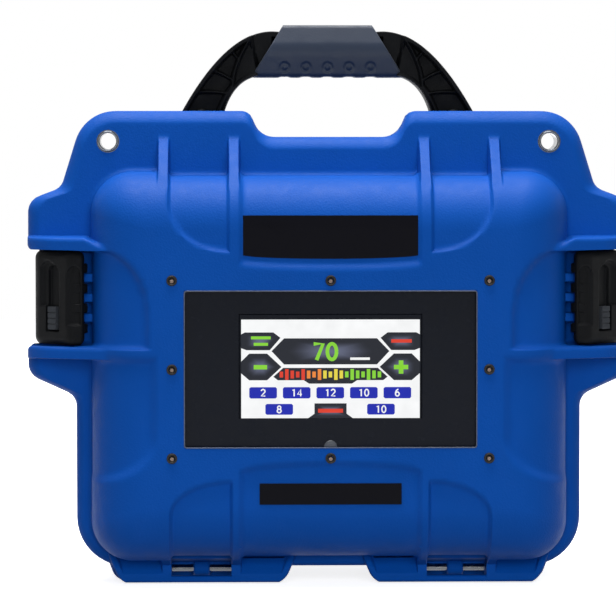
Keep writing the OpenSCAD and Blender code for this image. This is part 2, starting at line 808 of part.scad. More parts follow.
module lid_shell() color([0.1, 0.3, 0.65]) difference() {
    union() {
        lid_pillow(scoop_d, lid_back_y);
        difference() {
            lid_pillow(0, lid_back_y);
            along_y(front_y - overrun, part_y) lid_scoops();
        }
        along_y(lid_flange_y, lid_back_y) flange_ring(0);
        block([-label_w / 2 - side_clear, face_y + scoop_d, label_z - side_clear],
              [label_w / 2 + side_clear, face_y + lid_edge_r, label_z + label_h + side_clear]);
        both_sides() {
            lid_gusset(rib_in_x);
            lid_gusset(rib_out_x);
            hinge_arm(rib_in_x);
            hinge_arm(rib_out_x);
            lid_guard(bay_low - rib_t, bay_low);
            lid_guard(bay_high, bay_high + rib_t);
            for (i = [-1 : 1])
                latch_lug(latch_z + i * lug_pitch);
        }
    }
    lid_pillow(cavity_in, part_y + overrun);
    block([-plate_w / 2 - pocket_clear, window_back_y, panel_z - plate_h / 2 - pocket_clear],
          [plate_w / 2 + pocket_clear, face_y + cavity_in + overrun, panel_z + plate_h / 2 + pocket_clear]);
    along_y(front_y - overrun, part_y)
        polygon(box_outline(window_w, panel_z - window_h / 2, panel_z + window_h / 2, window_r));
    screw_places() {
        rod_y(0, front_y, part_y, 0, screw_r + hole_clear);
        rod_y(0, front_y, front_y + head_h, 0, head_r + hole_clear);
    }
    along_y(lid_back_y - seal_d, part_y) seal_ring(pocket_clear);
    both_sides() {
        rod_x(hinge_x - hinge_span, hinge_x + hinge_span, part_y, hinge_z, hinge_pin_r + run_clear);
        block([rib_in_x + rib_t / 2, lid_flange_y - overrun, 0],
              [rib_out_x - rib_t / 2, part_y, hinge_z + knuckle_r + side_clear]);
        rod_z(latch_pin_x, latch_pin_y, latch_z - latch_h / 2, latch_z + latch_h / 2, latch_pin_r + run_clear);
    }
}

module lid_shoulders() color([0.1, 0.3, 0.65])
    shoulders(0, lid_flange_y, lid_back_y);

module seal_ring(grow) difference() {
    polygon(body_outline(cavity_in - seal_land - seal_w - grow));
    polygon(body_outline(cavity_in - seal_land + grow));
}

module case_seal() color([0.05, 0.05, 0.05])
    along_y(lid_back_y - seal_d, lid_back_y) seal_ring(0);

// Hinge foot of the base, seen from the front.
module foot_outline()
    polygon(rounded([
        [foot_in_x - foot_lean, foot_h, 0], [foot_in_x, 0, foot_r],
        [foot_out_x, 0, foot_r], [foot_out_x + foot_lean, foot_h, 0]]));

module skid(x)
    block([x - skid_w / 2, base_flange_y - overrun, 0], [x + skid_w / 2, base_flange_y + skid_l, body_z + scoop_d]);

module handle_ear(low)
    along_x(low, low + ear_t) polygon(concat(
        arc([handle_y, handle_z], ear_r, ear_r, 0, 180),
        [[base_flange_y, handle_z], [base_flange_y, body_top], [handle_y + 2 * ear_r, body_top]]));

module handle_ears() color([0.1, 0.3, 0.65]) both_sides() difference() {
    union() {
        handle_ear(arm_low_x - side_clear - ear_t);
        handle_ear(arm_high_x + side_clear);
    }
    rod_x(arm_low_x - side_clear - ear_t - overrun, arm_high_x + side_clear + ear_t + overrun,
          handle_y, handle_z, handle_pin_r + run_clear);
}

module base_shell() color([0.1, 0.3, 0.65]) difference() {
    union() {
        difference() {
            union() {
                base_pillow(0, base_front_y);
                along_y(base_front_y, base_flange_y) flange_ring(part_gap);
                both_sides() {
                    along_y(base_front_y, base_flange_y) foot_outline();
                    rod_x(hinge_x - knuckle_w / 2, hinge_x + knuckle_w / 2, part_y, hinge_z, knuckle_r);
                    skid(skid_out_x);
                    skid(skid_in_x);
                    base_guard(bay_low - rib_t - part_gap, bay_low - part_gap);
                    base_guard(bay_high + part_gap, bay_high + rib_t + part_gap);
                    block([body_x - wall_t, base_front_y, latch_z - catch_h / 2],
                          [body_x + catch_w, catch_y, latch_z + catch_h / 2]);
                }
            }
            base_pillow(cavity_in, base_front_y - overrun);
            along_y(back_y - base_edge_r, back_y + overrun) tub_outline(tub_t + pocket_clear, tub_t + pocket_clear);
        }
        boss_places() rod_y(0, chassis_back_y, back_y - cavity_in + overrun, 0, boss_r);
    }
    boss_places() rod_y(0, chassis_back_y - overrun, back_y - cavity_in, 0, boss_screw_r + run_clear);
    rod_z(0, handle_y + valve_back, body_top - cavity_in - overrun, case_h, valve_thread_r + pocket_clear);
    both_sides() {
        rod_x(hinge_x - hinge_span, hinge_x + hinge_span, part_y, hinge_z, hinge_pin_r + run_clear);
        for (x = [rib_in_x, rib_out_x])
            hinge_arm_room(x);
        block([rib_in_x, base_front_y - overrun, -overrun],
              [hinge_x - knuckle_w / 2 - side_clear, part_y + hinge_arm_r + side_clear, hinge_z + hinge_arm_r]);
        block([hinge_x + knuckle_w / 2 + side_clear, base_front_y - overrun, -overrun],
              [rib_out_x, part_y + hinge_arm_r + side_clear, hinge_z + hinge_arm_r]);
    }
}

module base_shoulders() color([0.1, 0.3, 0.65])
    shoulders(part_gap, base_front_y, base_flange_y);

// Outline of the connector recess, grown sideways and upwards.
module tub_outline(side, over)
    polygon(box_outline(recess_w + 2 * side, recess_z - over, recess_z + recess_h + over, guard_root_r / 2));

// The tub of the connector recess, held behind the back wall by lips above and below.
module connector_tub() color([0.06, 0.06, 0.06]) difference() {
    union() {
        along_y(tub_in_y, back_y) tub_outline(tub_t, tub_t);
        along_y(back_y - cavity_in - tub_t, back_y - cavity_in) tub_outline(tub_t, 2 * tub_t);
    }
    along_y(recess_y, back_y + overrun) tub_outline(0, 0);
    along_y(tub_in_y - overrun, back_y) tub_outline(-tub_land, -tub_land);
    conn_screw_places() rod_y(0, tub_in_y - overrun, back_y, 0, conn_screw_r + run_clear);
}

// Room in the base for a hinge arm of the lid.
module hinge_arm_room(x) {
    r = hinge_arm_r + side_clear;
    along_x(x - rib_t / 2 - side_clear, x + rib_t / 2 + side_clear) polygon(concat(
        arc([part_y, hinge_z], r, r, 90, 0),
        [[part_y + r, -overrun], [part_y - r, -overrun], [part_y - r, hinge_z + r]]));
}

module hinge_pins() color([0.75, 0.75, 0.75]) both_sides()
    rod_x(rib_in_x - rib_t / 2, rib_out_x + rib_t / 2, part_y, hinge_z, hinge_pin_r);

// Padlock eyelets

module eyelet(low, high, rim_low, rim_high) both_sides() difference() {
    union() {
        rod_y(eye_x, low, high, eye_z, eye_r);
        rod_y(eye_x, rim_low, rim_high, eye_z, eye_rim_r);
    }
    rod_y(eye_x, low - overrun, high + overrun, eye_z, eye_bore_r);
}

module lid_eyelets() color([0.8, 0.8, 0.8])
    eyelet(lid_flange_y - eye_rim_t, lid_back_y, lid_flange_y - eye_rim_t, lid_flange_y);

module base_eyelets() color([0.8, 0.8, 0.8])
    eyelet(base_front_y, base_flange_y + eye_rim_t, base_flange_y, base_flange_y + eye_rim_t);

module pressure_valve() color([0.1, 0.1, 0.1]) {
    rod_z(0, handle_y + valve_back, body_top, body_top + valve_h, valve_r);
    rod_z(0, handle_y + valve_back, body_top - cavity_in - scoop_d, body_top, valve_thread_r);
}

// Handle

arm_end = 86;
arm_ribs = [10, 32, 52, 70];
arm_rib_turn = 5;

module arm_outline()
    polygon(concat([[arm_high_x, handle_z - handle_t / 2]],
        arc([arm_x, arm_z], arm_out_r, arm_out_r, 0, arm_end),
        arc([arm_x, arm_z], arm_in_r, arm_in_r, arm_end, 0),
        [[arm_low_x, handle_z - handle_t / 2]]));

module arm_pocket(start, end)
    polygon(concat(
        arc([arm_x, arm_z], arm_out_r - arm_rim, arm_out_r - arm_rim, start, end),
        arc([arm_x, arm_z], arm_in_r + arm_rim, arm_in_r + arm_rim, end, start)));

module grip_outline(grow)
    polygon(rounded([
        [grip_low_w / 2 + grow, grip_z, 0], [grip_top_w / 2 + grow, grip_z + grip_h, 0],
        [-grip_top_w / 2 - grow, grip_z + grip_h, 0], [-grip_low_w / 2 - grow, grip_z, 0]]));

module grip_bar() {
    mid_z = grip_z + grip_h / 2;
    block([-arm_x - overrun, handle_y - bar_t / 2, mid_z - bar_h / 2],
          [arm_x + overrun, handle_y + bar_t / 2, mid_z + bar_h / 2]);
}

module handle_frame() color([0.06, 0.06, 0.07]) {
    low_y = handle_y - handle_t / 2;
    high_y = handle_y + handle_t / 2;
    end_x = arm_x + arm_in_r * cos(arm_end);
    both_sides() difference() {
        intersection() {
            along_y(low_y, high_y) arm_outline();
            along_x(0, arm_high_x + overrun) polygon(concat(
                arc([handle_y, handle_z], handle_t / 2, handle_t / 2, 180, 360),
                [[high_y, arm_top + overrun], [low_y, arm_top + overrun]]));
        }
        rod_x(0, arm_high_x + overrun, handle_y, handle_z, handle_pin_r + run_clear);
        for (i = [0 : len(arm_ribs) - 2]) {
            along_y(low_y - overrun, low_y + arm_pocket_d)
                arm_pocket(arm_ribs[i] + arm_rib_turn, arm_ribs[i + 1]);
            along_y(high_y - arm_pocket_d, high_y + overrun)
                arm_pocket(arm_ribs[i] + arm_rib_turn, arm_ribs[i + 1]);
        }
        along_y(low_y - overrun, high_y + overrun) grip_outline(0);
    }
    difference() {
        block([-end_x - overrun, low_y, arm_z + arm_in_r], [end_x + overrun, high_y, arm_top]);
        along_y(low_y - overrun, high_y + overrun) grip_outline(0);
    }
    grip_bar();
}

module handle_grip() color([0.2, 0.24, 0.32]) difference() {
    intersection() {
        along_y(handle_y - grip_t / 2, handle_y + grip_t / 2) grip_outline(0);
        along_x(-grip_low_w, grip_low_w) polygon(rounded([
            [handle_y - grip_t / 2, grip_z, grip_r], [handle_y + grip_t / 2, grip_z, grip_r],
            [handle_y + grip_t / 2, grip_z + grip_h, grip_r],
            [handle_y - grip_t / 2, grip_z + grip_h, grip_r]]));
    }
    grip_bar();
}

module handle_pins() color([0.75, 0.75, 0.75]) both_sides()
    rod_x(arm_low_x - side_clear - ear_t, arm_high_x + side_clear + ear_t, handle_y, handle_z, handle_pin_r);

// Latches

module latch_outline() {
    in_slope_y = latch_front_y + latch_t / diagonal_share;
    polygon(rounded([
        [latch_pin_x, latch_front_y + lock_proud, 0],
        [slope_x, latch_front_y, barrel_r / 2],
        [latch_out_x, slope_y, guard_root_r],
        [latch_out_x, latch_end_y - latch_t, guard_root_r],
        [latch_out_x + lock_proud, latch_end_y, 0],
        [latch_out_x - latch_t / 2, latch_end_y, 0],
        [latch_out_x - latch_t, claw_y + claw_l + latch_t / 2, 0],
        [latch_out_x - latch_t, claw_y + claw_l, 0],
        [claw_x, claw_y + claw_l, 0],
        [claw_x, claw_y, 0],
        [latch_out_x - latch_t, claw_y - claw_l / 2, 0],
        [latch_out_x - latch_t, slope_y + latch_t / 2, barrel_r / 2],
        [slope_x - latch_t / 2, in_slope_y - latch_t / 2, 0],
        [latch_pin_x, latch_pin_y + barrel_r, 0]]));
}

// Places work on the sloping face of a latch, with local Z out of the face and local Y upwards.
module on_slope()
    translate([(slope_x + latch_out_x) / 2, (latch_front_y + slope_y) / 2, latch_z])
        rotate([0, 0, 45]) rotate([90, 0, 0]) children();

module latch() difference() {
    union() {
        along_z(latch_z - latch_h / 2, latch_z + latch_h / 2) latch_outline();
        rod_z(latch_pin_x, latch_pin_y, latch_z - latch_h / 2, latch_z + latch_h / 2, barrel_r);
    }
    for (i = [-1 : 1])
        rod_z(latch_pin_x, latch_pin_y, latch_z + i * lug_pitch - lug_t / 2 - swing_clear,
              latch_z + i * lug_pitch + lug_t / 2 + swing_clear, barrel_r + latch_t / 2);
    rod_z(latch_pin_x, latch_pin_y, latch_z - latch_h, latch_z + latch_h, latch_pin_r + run_clear);
    on_slope() block([-slot_w / 2, -slot_l / 2, -slot_d], [slot_w / 2, slot_l / 2, slot_d]);
}

module latch_lock() on_slope() difference() {
    block([-slot_w / 2 + swing_clear, -slot_l / 2 + swing_clear, -slot_d + swing_clear],
          [slot_w / 2 - swing_clear, -slot_l / 2 + swing_clear + lock_l, lock_proud]);
    for (i = [-1 : 1])
        block([-slot_w, -slot_l / 2 + lock_l / 2 + i * lock_l / 4, 0],
              [slot_w, -slot_l / 2 + lock_l / 2 + i * lock_l / 4 + lock_proud, slot_d]);
}

module right_latch() color([0.04, 0.04, 0.04]) latch();
module left_latch() color([0.04, 0.04, 0.04]) mirror([1, 0, 0]) latch();
module right_latch_lock() color([0.07, 0.07, 0.07]) latch_lock();
module left_latch_lock() color([0.07, 0.07, 0.07]) mirror([1, 0, 0]) latch_lock();

module latch_pins() color([0.75, 0.75, 0.75]) both_sides()
    rod_z(latch_pin_x, latch_pin_y, latch_z - latch_h / 2, latch_z + latch_h / 2, latch_pin_r);

// Front panel

module front_plate() color([0.02, 0.02, 0.02]) difference() {
    block([-plate_w / 2, plate_y, panel_z - plate_h / 2], [plate_w / 2, plate_back_y, panel_z + plate_h / 2]);
    block([-lcd_w / 2 - pocket_clear, plate_y - overrun, lcd_z - lcd_h / 2 - pocket_clear],
          [lcd_w / 2 + pocket_clear, plate_back_y + overrun, lcd_z + lcd_h / 2 + pocket_clear]);
    screw_places() rod_y(0, plate_y - overrun, plate_back_y + overrun, 0, screw_r + hole_clear);
}

module panel_gasket() color([0.1, 0.1, 0.1]) difference() {
    block([-plate_w / 2, window_back_y, panel_z - plate_h / 2], [plate_w / 2, plate_y, panel_z + plate_h / 2]);
    block([-plate_w / 2 + gasket_w, window_back_y - overrun, panel_z - plate_h / 2 + gasket_w],
          [plate_w / 2 - gasket_w, plate_y + overrun, panel_z + plate_h / 2 - gasket_w]);
    screw_places() rod_y(0, window_back_y - overrun, plate_y + overrun, 0, screw_r + hole_clear);
}

module lcd_module() color([0.85, 0.88, 0.9]) {
    block([-lcd_w / 2, plate_y + pocket_clear, lcd_z - lcd_h / 2], [lcd_w / 2, lcd_back_y, lcd_z + lcd_h / 2]);
    block([-lcd_w / 2 - lcd_border, plate_back_y, lcd_z - lcd_h / 2 - lcd_border],
          [lcd_w / 2 + lcd_border, lcd_back_y, lcd_z + lcd_h / 2 + lcd_border]);
}

module standoff_places() {
    for (i = [-1, 1])
        for (j = [-1, 1])
            translate([i * (board_w / 2 - standoff_r), 0, lcd_z + j * (board_h / 2 - standoff_r)]) children();
}

module display_standoffs() color([0.7, 0.6, 0.3])
    standoff_places() rod_y(0, plate_back_y, board_y, 0, standoff_r);

chip_shares = [[-0.3, 0.1], [0.05, 0.15], [0.3, -0.2], [-0.1, -0.3]];

module display_board() color([0.05, 0.3, 0.15]) {
    block([-board_w / 2, board_y, lcd_z - board_h / 2], [board_w / 2, board_y + board_t, lcd_z + board_h / 2]);
    for (share = chip_shares)
        translate([share.x * board_w, board_y, lcd_z + share.y * board_h])
            block([-lcd_border, 0, -lcd_border], [lcd_border, 2 * board_t, lcd_border]);
    block([-board_w / 4, board_y, lcd_z + board_h / 2 - lcd_border],
          [board_w / 4, board_y + standoff_l, lcd_z + board_h / 2]);
}

module panel_screws() color([0.05, 0.05, 0.05]) screw_places() difference() {
    union() {
        rod_y(0, front_y, front_y + head_h, 0, head_r);
        rod_y(0, front_y, plate_back_y + 2 * head_h, 0, screw_r);
    }
    translate([0, front_y + socket_d, 0]) rotate([90, 0, 0])
        cylinder(h = socket_d + overrun, d = socket_w / cos(30), $fn = 6);
}

module panel_nuts() color([0.7, 0.7, 0.7]) screw_places() difference() {
    union() {
        translate([0, plate_back_y + head_h, 0]) rotate([90, 0, 0])
            cylinder(h = head_h, r = 2 * screw_r, $fn = 6);
        rod_y(0, plate_back_y, plate_back_y + label_t, 0, head_r + label_t);
    }
    rod_y(0, plate_back_y - overrun, plate_back_y + head_h + overrun, 0, screw_r + run_clear);
}

module upper_label() color([0.02, 0.02, 0.02])
    along_y(face_y + scoop_d - label_t, face_y + scoop_d)
        polygon(box_outline(label_w, label_z, label_z + label_h, label_t));

module lower_label() color([0.02, 0.02, 0.02])
    along_y(face_y + scoop_d - label_t, face_y + scoop_d)
        polygon(box_outline(low_label_w, low_label_z, low_label_z + low_label_h, label_t));

// Connector panel in the back

conn_w = recess_w - 2 * plate_gap;
conn_h = recess_h - 2 * plate_gap;

module conn_screw_places() {
    for (i = [-1, 1])
        for (j = [-1, 1])
            translate([i * (conn_w / 2 - conn_screw_in), 0, conn_z + j * (conn_h / 2 - conn_screw_in)]) children();
}

module connector_plate() color([0.6, 0.6, 0.62]) difference() {
    along_y(recess_y, conn_y)
        polygon(box_outline(conn_w, conn_z - conn_h / 2, conn_z + conn_h / 2, plate_gap));
    for (x = [pos_x, neg_x])
        rod_y(x, recess_y - overrun, conn_y + overrun, conn_z, weld_in_r + pocket_clear);
    rod_y(gun_x, recess_y - overrun, conn_y + overrun, conn_z, gun_r + pocket_clear);
    block([inlet_x - inlet_w / 2 - pocket_clear, recess_y - overrun, conn_z - inlet_h / 2 - pocket_clear],
          [inlet_x + inlet_w / 2 + pocket_clear, conn_y + overrun, conn_z + inlet_h / 2 + pocket_clear]);
    block([switch_x - switch_w / 2 + switch_rim - pocket_clear, recess_y - overrun,
           conn_z - switch_h / 2 + switch_rim - pocket_clear],
          [switch_x + switch_w / 2 - switch_rim + pocket_clear, conn_y + overrun,
           conn_z + switch_h / 2 - switch_rim + pocket_clear]);
    conn_screw_places() rod_y(0, recess_y - overrun, conn_y + overrun, 0, conn_screw_r + hole_clear);
}

module connector_screws() color([0.7, 0.7, 0.7]) conn_screw_places() difference() {
    union() {
        rod_y(0, tub_in_y, conn_y, 0, conn_screw_r);
        rod_y(0, conn_y, conn_y + conn_t, 0, 2 * conn_screw_r);
    }
    block([-2 * conn_screw_r, conn_y + conn_t / 2, -conn_screw_r / 4],
          [2 * conn_screw_r, conn_y + conn_t + overrun, conn_screw_r / 4]);
}

module weld_socket(x) difference() {
    union() {
        rod_y(x, conn_y, conn_y + weld_out, conn_z, weld_r);
        rod_y(x, conn_y - conn_t - weld_in, conn_y, conn_z, weld_in_r);
    }
    rod_y(x, conn_y - conn_t - weld_in - overrun, conn_y + weld_out + overrun, conn_z, contact_r + pocket_clear);
}

module weld_contact(x) {
    low_y = conn_y - conn_t - weld_in;
    difference() {
        rod_y(x, low_y, conn_y + weld_out - lock_proud, conn_z, contact_r);
        rod_y(x, conn_y + weld_out - lock_proud - weld_bore_l, conn_y + weld_out, conn_z, weld_bore_r);
    }
    rod_y(x, low_y - tail_l, low_y, conn_z, tail_r);
}

module positive_socket() color([0.6, 0.06, 0.05]) weld_socket(pos_x);
module positive_contact() color([0.75, 0.6, 0.3]) weld_contact(pos_x);
module negative_socket() color([0.05, 0.05, 0.05]) weld_socket(neg_x);
module negative_contact() color([0.75, 0.6, 0.3]) weld_contact(neg_x);

module gun_socket() color([0.65, 0.65, 0.67]) difference() {
    union() {
        rod_y(gun_x, conn_y - conn_t - gun_in, conn_y + gun_out, conn_z, gun_r);
        translate([gun_x, conn_y + conn_t, conn_z]) rotate([90, 0, 0])
            cylinder(h = conn_t, r = gun_hex_r, $fn = 6);
    }
    rod_y(gun_x, conn_y - conn_t - gun_in - overrun, conn_y + gun_out + overrun, conn_z,
          gun_insert_r + pocket_clear);
}

module gun_insert() color([0.08, 0.08, 0.08]) difference() {
    rod_y(gun_x, conn_y - conn_t - gun_in, conn_y + gun_out - label_t, conn_z, gun_insert_r);
    for (i = [0 : 3])
        rod_y(gun_x + gun_insert_r / 2 * cos(45 + 90 * i), conn_y, conn_y + gun_out,
              conn_z + gun_insert_r / 2 * sin(45 + 90 * i), gun_hole_r);
}

module mains_inlet() color([0.06, 0.06, 0.06]) difference() {
    union() {
        block([inlet_x - inlet_w / 2, conn_y - conn_t - inlet_in, conn_z - inlet_h / 2],
              [inlet_x + inlet_w / 2, conn_y, conn_z + inlet_h / 2]);
        block([inlet_x - inlet_w / 2 - inlet_rim, conn_y, conn_z - inlet_h / 2 - inlet_rim],
              [inlet_x + inlet_w / 2 + inlet_rim, conn_y + inlet_rim_t, conn_z + inlet_h / 2 + inlet_rim]);
    }
    block([inlet_x - inlet_w / 2 + inlet_wall, conn_y - conn_t - inlet_in + inlet_wall,
           conn_z - inlet_h / 2 + inlet_wall],
          [inlet_x + inlet_w / 2 - inlet_wall, conn_y + inlet_rim_t + overrun, conn_z + inlet_h / 2 - inlet_wall]);
}

module mains_blades() color([0.75, 0.7, 0.5]) {
    for (i = [-1 : 1]) {
        x = inlet_x + i * blade_x;
        z = conn_z + (i == 0 ? blade_z / 2 : -blade_z / 2);
        block([x - blade_t / 2, conn_y - conn_t - inlet_in + inlet_wall, z - blade_h / 2],
              [x + blade_t / 2, conn_y - inlet_wall, z + blade_h / 2]);
    }
}

module switch_frame() color([0.05, 0.05, 0.05]) difference() {
    union() {
        block([switch_x - switch_w / 2 + switch_rim, conn_y - conn_t - switch_in,
               conn_z - switch_h / 2 + switch_rim],
              [switch_x + switch_w / 2 - switch_rim, conn_y, conn_z + switch_h / 2 - switch_rim]);
        block([switch_x - switch_w / 2, conn_y, conn_z - switch_h / 2],
              [switch_x + switch_w / 2, conn_y + switch_rim_t, conn_z + switch_h / 2]);
    }
    block([switch_x - switch_w / 2 + 2 * switch_rim, conn_y - conn_t - switch_in + switch_rim,
           conn_z - switch_h / 2 + 2 * switch_rim],
          [switch_x + switch_w / 2 - 2 * switch_rim, conn_y + switch_rim_t + overrun,
           conn_z + switch_h / 2 - 2 * switch_rim]);
    rod_x(switch_x - switch_w / 2 + switch_rim + label_t, switch_x + switch_w / 2 - switch_rim - label_t,
          conn_y, conn_z, axle_r + run_clear);
}

// The rocker is drawn tilted to its off side.
module switch_rocker() color([0.6, 0.05, 0.04]) {
    half_x = switch_w / 2 - 2 * switch_rim - swing_clear;
    half_z = switch_h / 2 - 2 * switch_rim - side_clear;
    crest_y = switch_rim_t;
    dip_y = half_z * tan(rocker_tilt);
    rod_x(switch_x - switch_w / 2 + switch_rim + 2 * label_t, switch_x + switch_w / 2 - switch_rim - 2 * label_t,
          conn_y, conn_z, axle_r);
    translate([0, conn_y, conn_z]) rotate([rocker_tilt, 0, 0])
        along_x(switch_x - half_x, switch_x + half_x) polygon([
            [-2 * axle_r, -half_z / 2], [crest_y, -half_z], [crest_y - dip_y + axle_r, 0],
            [crest_y, half_z], [-2 * axle_r, half_z / 2]]);
}

// Chassis and power parts

module boss_places() {
    for (i = [-1, 1])
        for (z = [shelf_z + boss_in, shelf_z + chassis_h - boss_in])
            translate([i * boss_x, 0, z]) children();
}

module chassis() color([0.7, 0.7, 0.72]) difference() {
    union() {
        block([-chassis_w / 2, chassis_y, shelf_z], [chassis_w / 2, chassis_back_y, shelf_z + chassis_h]);
        block([-chassis_w / 2, shelf_front_y, shelf_z], [chassis_w / 2, chassis_back_y, shelf_top]);
        block([-side_bar_x + side_clear, can_y - can_r, cap_z - chassis_t],
              [side_bar_x - side_clear, chassis_back_y, cap_z]);
    }
    block([-recess_w / 2 + tub_land, chassis_y - overrun, recess_z + tub_land],
          [recess_w / 2 - tub_land, chassis_back_y + overrun, recess_z + recess_h - tub_land]);
    boss_places() rod_y(0, chassis_y - overrun, chassis_back_y + overrun, 0, boss_screw_r + hole_clear);
}

module chassis_screws() color([0.7, 0.7, 0.7]) boss_places() {
    rod_y(0, chassis_y, chassis_back_y + recess_d - tub_t, 0, boss_screw_r);
    rod_y(0, chassis_y - chassis_t, chassis_y, 0, 2 * boss_screw_r);
}

module capacitor(place) translate([(place - 2.5) * can_pitch, can_y, 0]) {
    rod_z(0, 0, cap_z, cap_z + can_l, can_r);
    for (i = [-1, 1])
        rod_z(0, i * terminal_off, cap_z + can_l, bus_z, terminal_r);
}

module capacitor_1() color([0.12, 0.2, 0.4]) capacitor(1);
module capacitor_2() color([0.12, 0.2, 0.4]) capacitor(2);
module capacitor_3() color([0.12, 0.2, 0.4]) capacitor(3);
module capacitor_4() color([0.12, 0.2, 0.4]) capacitor(4);

clamp_x = 2 * can_pitch + chassis_t / 2;

module capacitor_clamp() color([0.7, 0.7, 0.72]) {
    low = cap_z + clamp_up - clamp_h / 2;
    high = cap_z + clamp_up + clamp_h / 2;
    front = can_y - can_r - can_gap;
    block([-clamp_x - chassis_t / 2, front - chassis_t, low], [clamp_x + chassis_t / 2, front, high]);
    both_sides()
        block([clamp_x - chassis_t / 2, front - chassis_t, low], [clamp_x + chassis_t / 2, chassis_y, high]);
}

module bus_bar(side) difference() {
    y = can_y + side * terminal_off;
    block([side < 0 ? -side_bar_x : -2 * can_pitch, y - bar_w / 2, bus_z],
          [side < 0 ? 2 * can_pitch : side_bar_x, y + bar_w / 2, bus_z + copper_t]);
    for (place = [1 : 4])
        rod_z((place - 2.5) * can_pitch, y, bus_z - overrun, bus_z + copper_t + overrun, terminal_r / 2 + hole_clear);
}

module positive_bar() color([0.72, 0.4, 0.25]) bus_bar(-1);
module negative_bar() color([0.72, 0.4, 0.25]) bus_bar(1);

module bar_screws() color([0.75, 0.75, 0.75])
    for (place = [1 : 4])
        for (side = [-1, 1])
            translate([(place - 2.5) * can_pitch, can_y + side * terminal_off, bus_z + copper_t]) {
                cylinder(h = bar_screw_h, r = bar_screw_r, $fn = 6);
                translate([0, 0, -copper_t]) cylinder(h = copper_t, r = terminal_r / 2);
            }

module positive_strap() color([0.72, 0.4, 0.25]) difference() {
    y = can_y - terminal_off;
    union() {
        block([-side_bar_x - copper_t, y - bar_w / 2, conn_z - bar_w / 2],
              [-side_bar_x, y + bar_w / 2, bus_z + copper_t]);
        block([-side_bar_x - copper_t, y - bar_w / 2, conn_z - bar_w / 2],
              [-side_bar_x, strap_y + copper_t / 2, conn_z + bar_w / 2]);
        block([-side_bar_x - copper_t, strap_y - copper_t / 2, conn_z - bar_w / 2],
              [pos_x + bar_w / 2, strap_y + copper_t / 2, conn_z + bar_w / 2]);
    }
    rod_y(pos_x, strap_y - copper_t, strap_y + copper_t, conn_z, tail_r + hole_clear);
}

module negative_strap() color([0.72, 0.4, 0.25]) {
    y = can_y + terminal_off;
    scr_y = parts_back_y - sink_d / 2;
    block([side_bar_x, scr_y - bar_w / 2, scr_top], [side_bar_x + copper_t, y + bar_w / 2, scr_top + bar_w]);
    block([side_bar_x, y - bar_w / 2, scr_top], [side_bar_x + copper_t, y + bar_w / 2, bus_z + copper_t]);
    block([sink_x + scr_w / 2 - bar_w, scr_y - bar_w / 2, scr_top],
          [side_bar_x + copper_t, scr_y + bar_w / 2, scr_top + copper_t]);
}

module output_strap() color([0.72, 0.4, 0.25]) difference() {
    scr_y = parts_back_y - sink_d / 2;
    union() {
        block([neg_x - bar_w / 2, scr_y - bar_w / 2, scr_top],
              [neg_x + bar_w / 2, strap_y + copper_t / 2, scr_top + copper_t]);
        block([neg_x - bar_w / 2, strap_y - copper_t / 2, conn_z - bar_w / 2],
              [neg_x + bar_w / 2, strap_y + copper_t / 2, scr_top + copper_t]);
    }
    rod_y(neg_x, strap_y - copper_t, strap_y + copper_t, conn_z, tail_r + hole_clear);
}

module transformer_core() color([0.25, 0.25, 0.27]) difference() {
    mid_y = parts_back_y - core_d / 2 - coil_out;
    block([core_x - core_w / 2, mid_y - core_d / 2, shelf_top],
          [core_x + core_w / 2, mid_y + core_d / 2, shelf_top + core_h]);
    for (i = [-1, 1])
        block([core_x + i * coil_w / 4 - coil_w / 8 - coil_w / 8, mid_y - core_d, shelf_top + core_h / 5],
              [core_x + i * coil_w / 4 + coil_w / 8 + coil_w / 8, mid_y + core_d, shelf_top + core_h * 4 / 5]);
}

module transformer_coil() color([0.55, 0.3, 0.12])
    block([core_x - coil_w / 2 + pocket_clear, parts_back_y - core_d - 2 * coil_out,
           shelf_top + core_h / 5 + pocket_clear],
          [core_x + coil_w / 2 - pocket_clear, parts_back_y, shelf_top + core_h * 4 / 5 - pocket_clear]);

module heat_sink() color([0.6, 0.6, 0.62]) {
    low_x = sink_x - sink_w / 2;
    block([low_x, parts_back_y - sink_d, sink_top - sink_plate], [low_x + sink_w, parts_back_y, sink_top]);
    for (i = [0 : fin_n - 1])
        translate([low_x + i * (sink_w - fin_t) / (fin_n - 1), 0, 0])
            block([0, parts_back_y - sink_d, shelf_top], [fin_t, parts_back_y, sink_top]);
}

module thyristor_module() color([0.75, 0.72, 0.65]) {
    scr_y = parts_back_y - sink_d / 2;
    block([sink_x - scr_w / 2, scr_y - scr_d / 2, sink_top], [sink_x + scr_w / 2, scr_y + scr_d / 2, sink_top + fin_t]);
    block([sink_x - scr_w / 2 + bar_w / 4, scr_y - scr_d / 2 + fin_t, sink_top],
          [sink_x + scr_w / 2, scr_y + scr_d / 2 - fin_t, scr_top]);
}

module relay() color([0.1, 0.25, 0.5]) {
    block([relay_x - relay_w / 2, parts_back_y - relay_d, shelf_top],
          [relay_x + relay_w / 2, parts_back_y, shelf_top + relay_h]);
    block([relay_x - relay_w / 4, parts_back_y - relay_d / 2, shelf_top + relay_h],
          [relay_x + relay_w / 4, parts_back_y - relay_d / 4, shelf_top + relay_h + terminal_h]);
}

charger_cap_shares = [-0.36, -0.2];

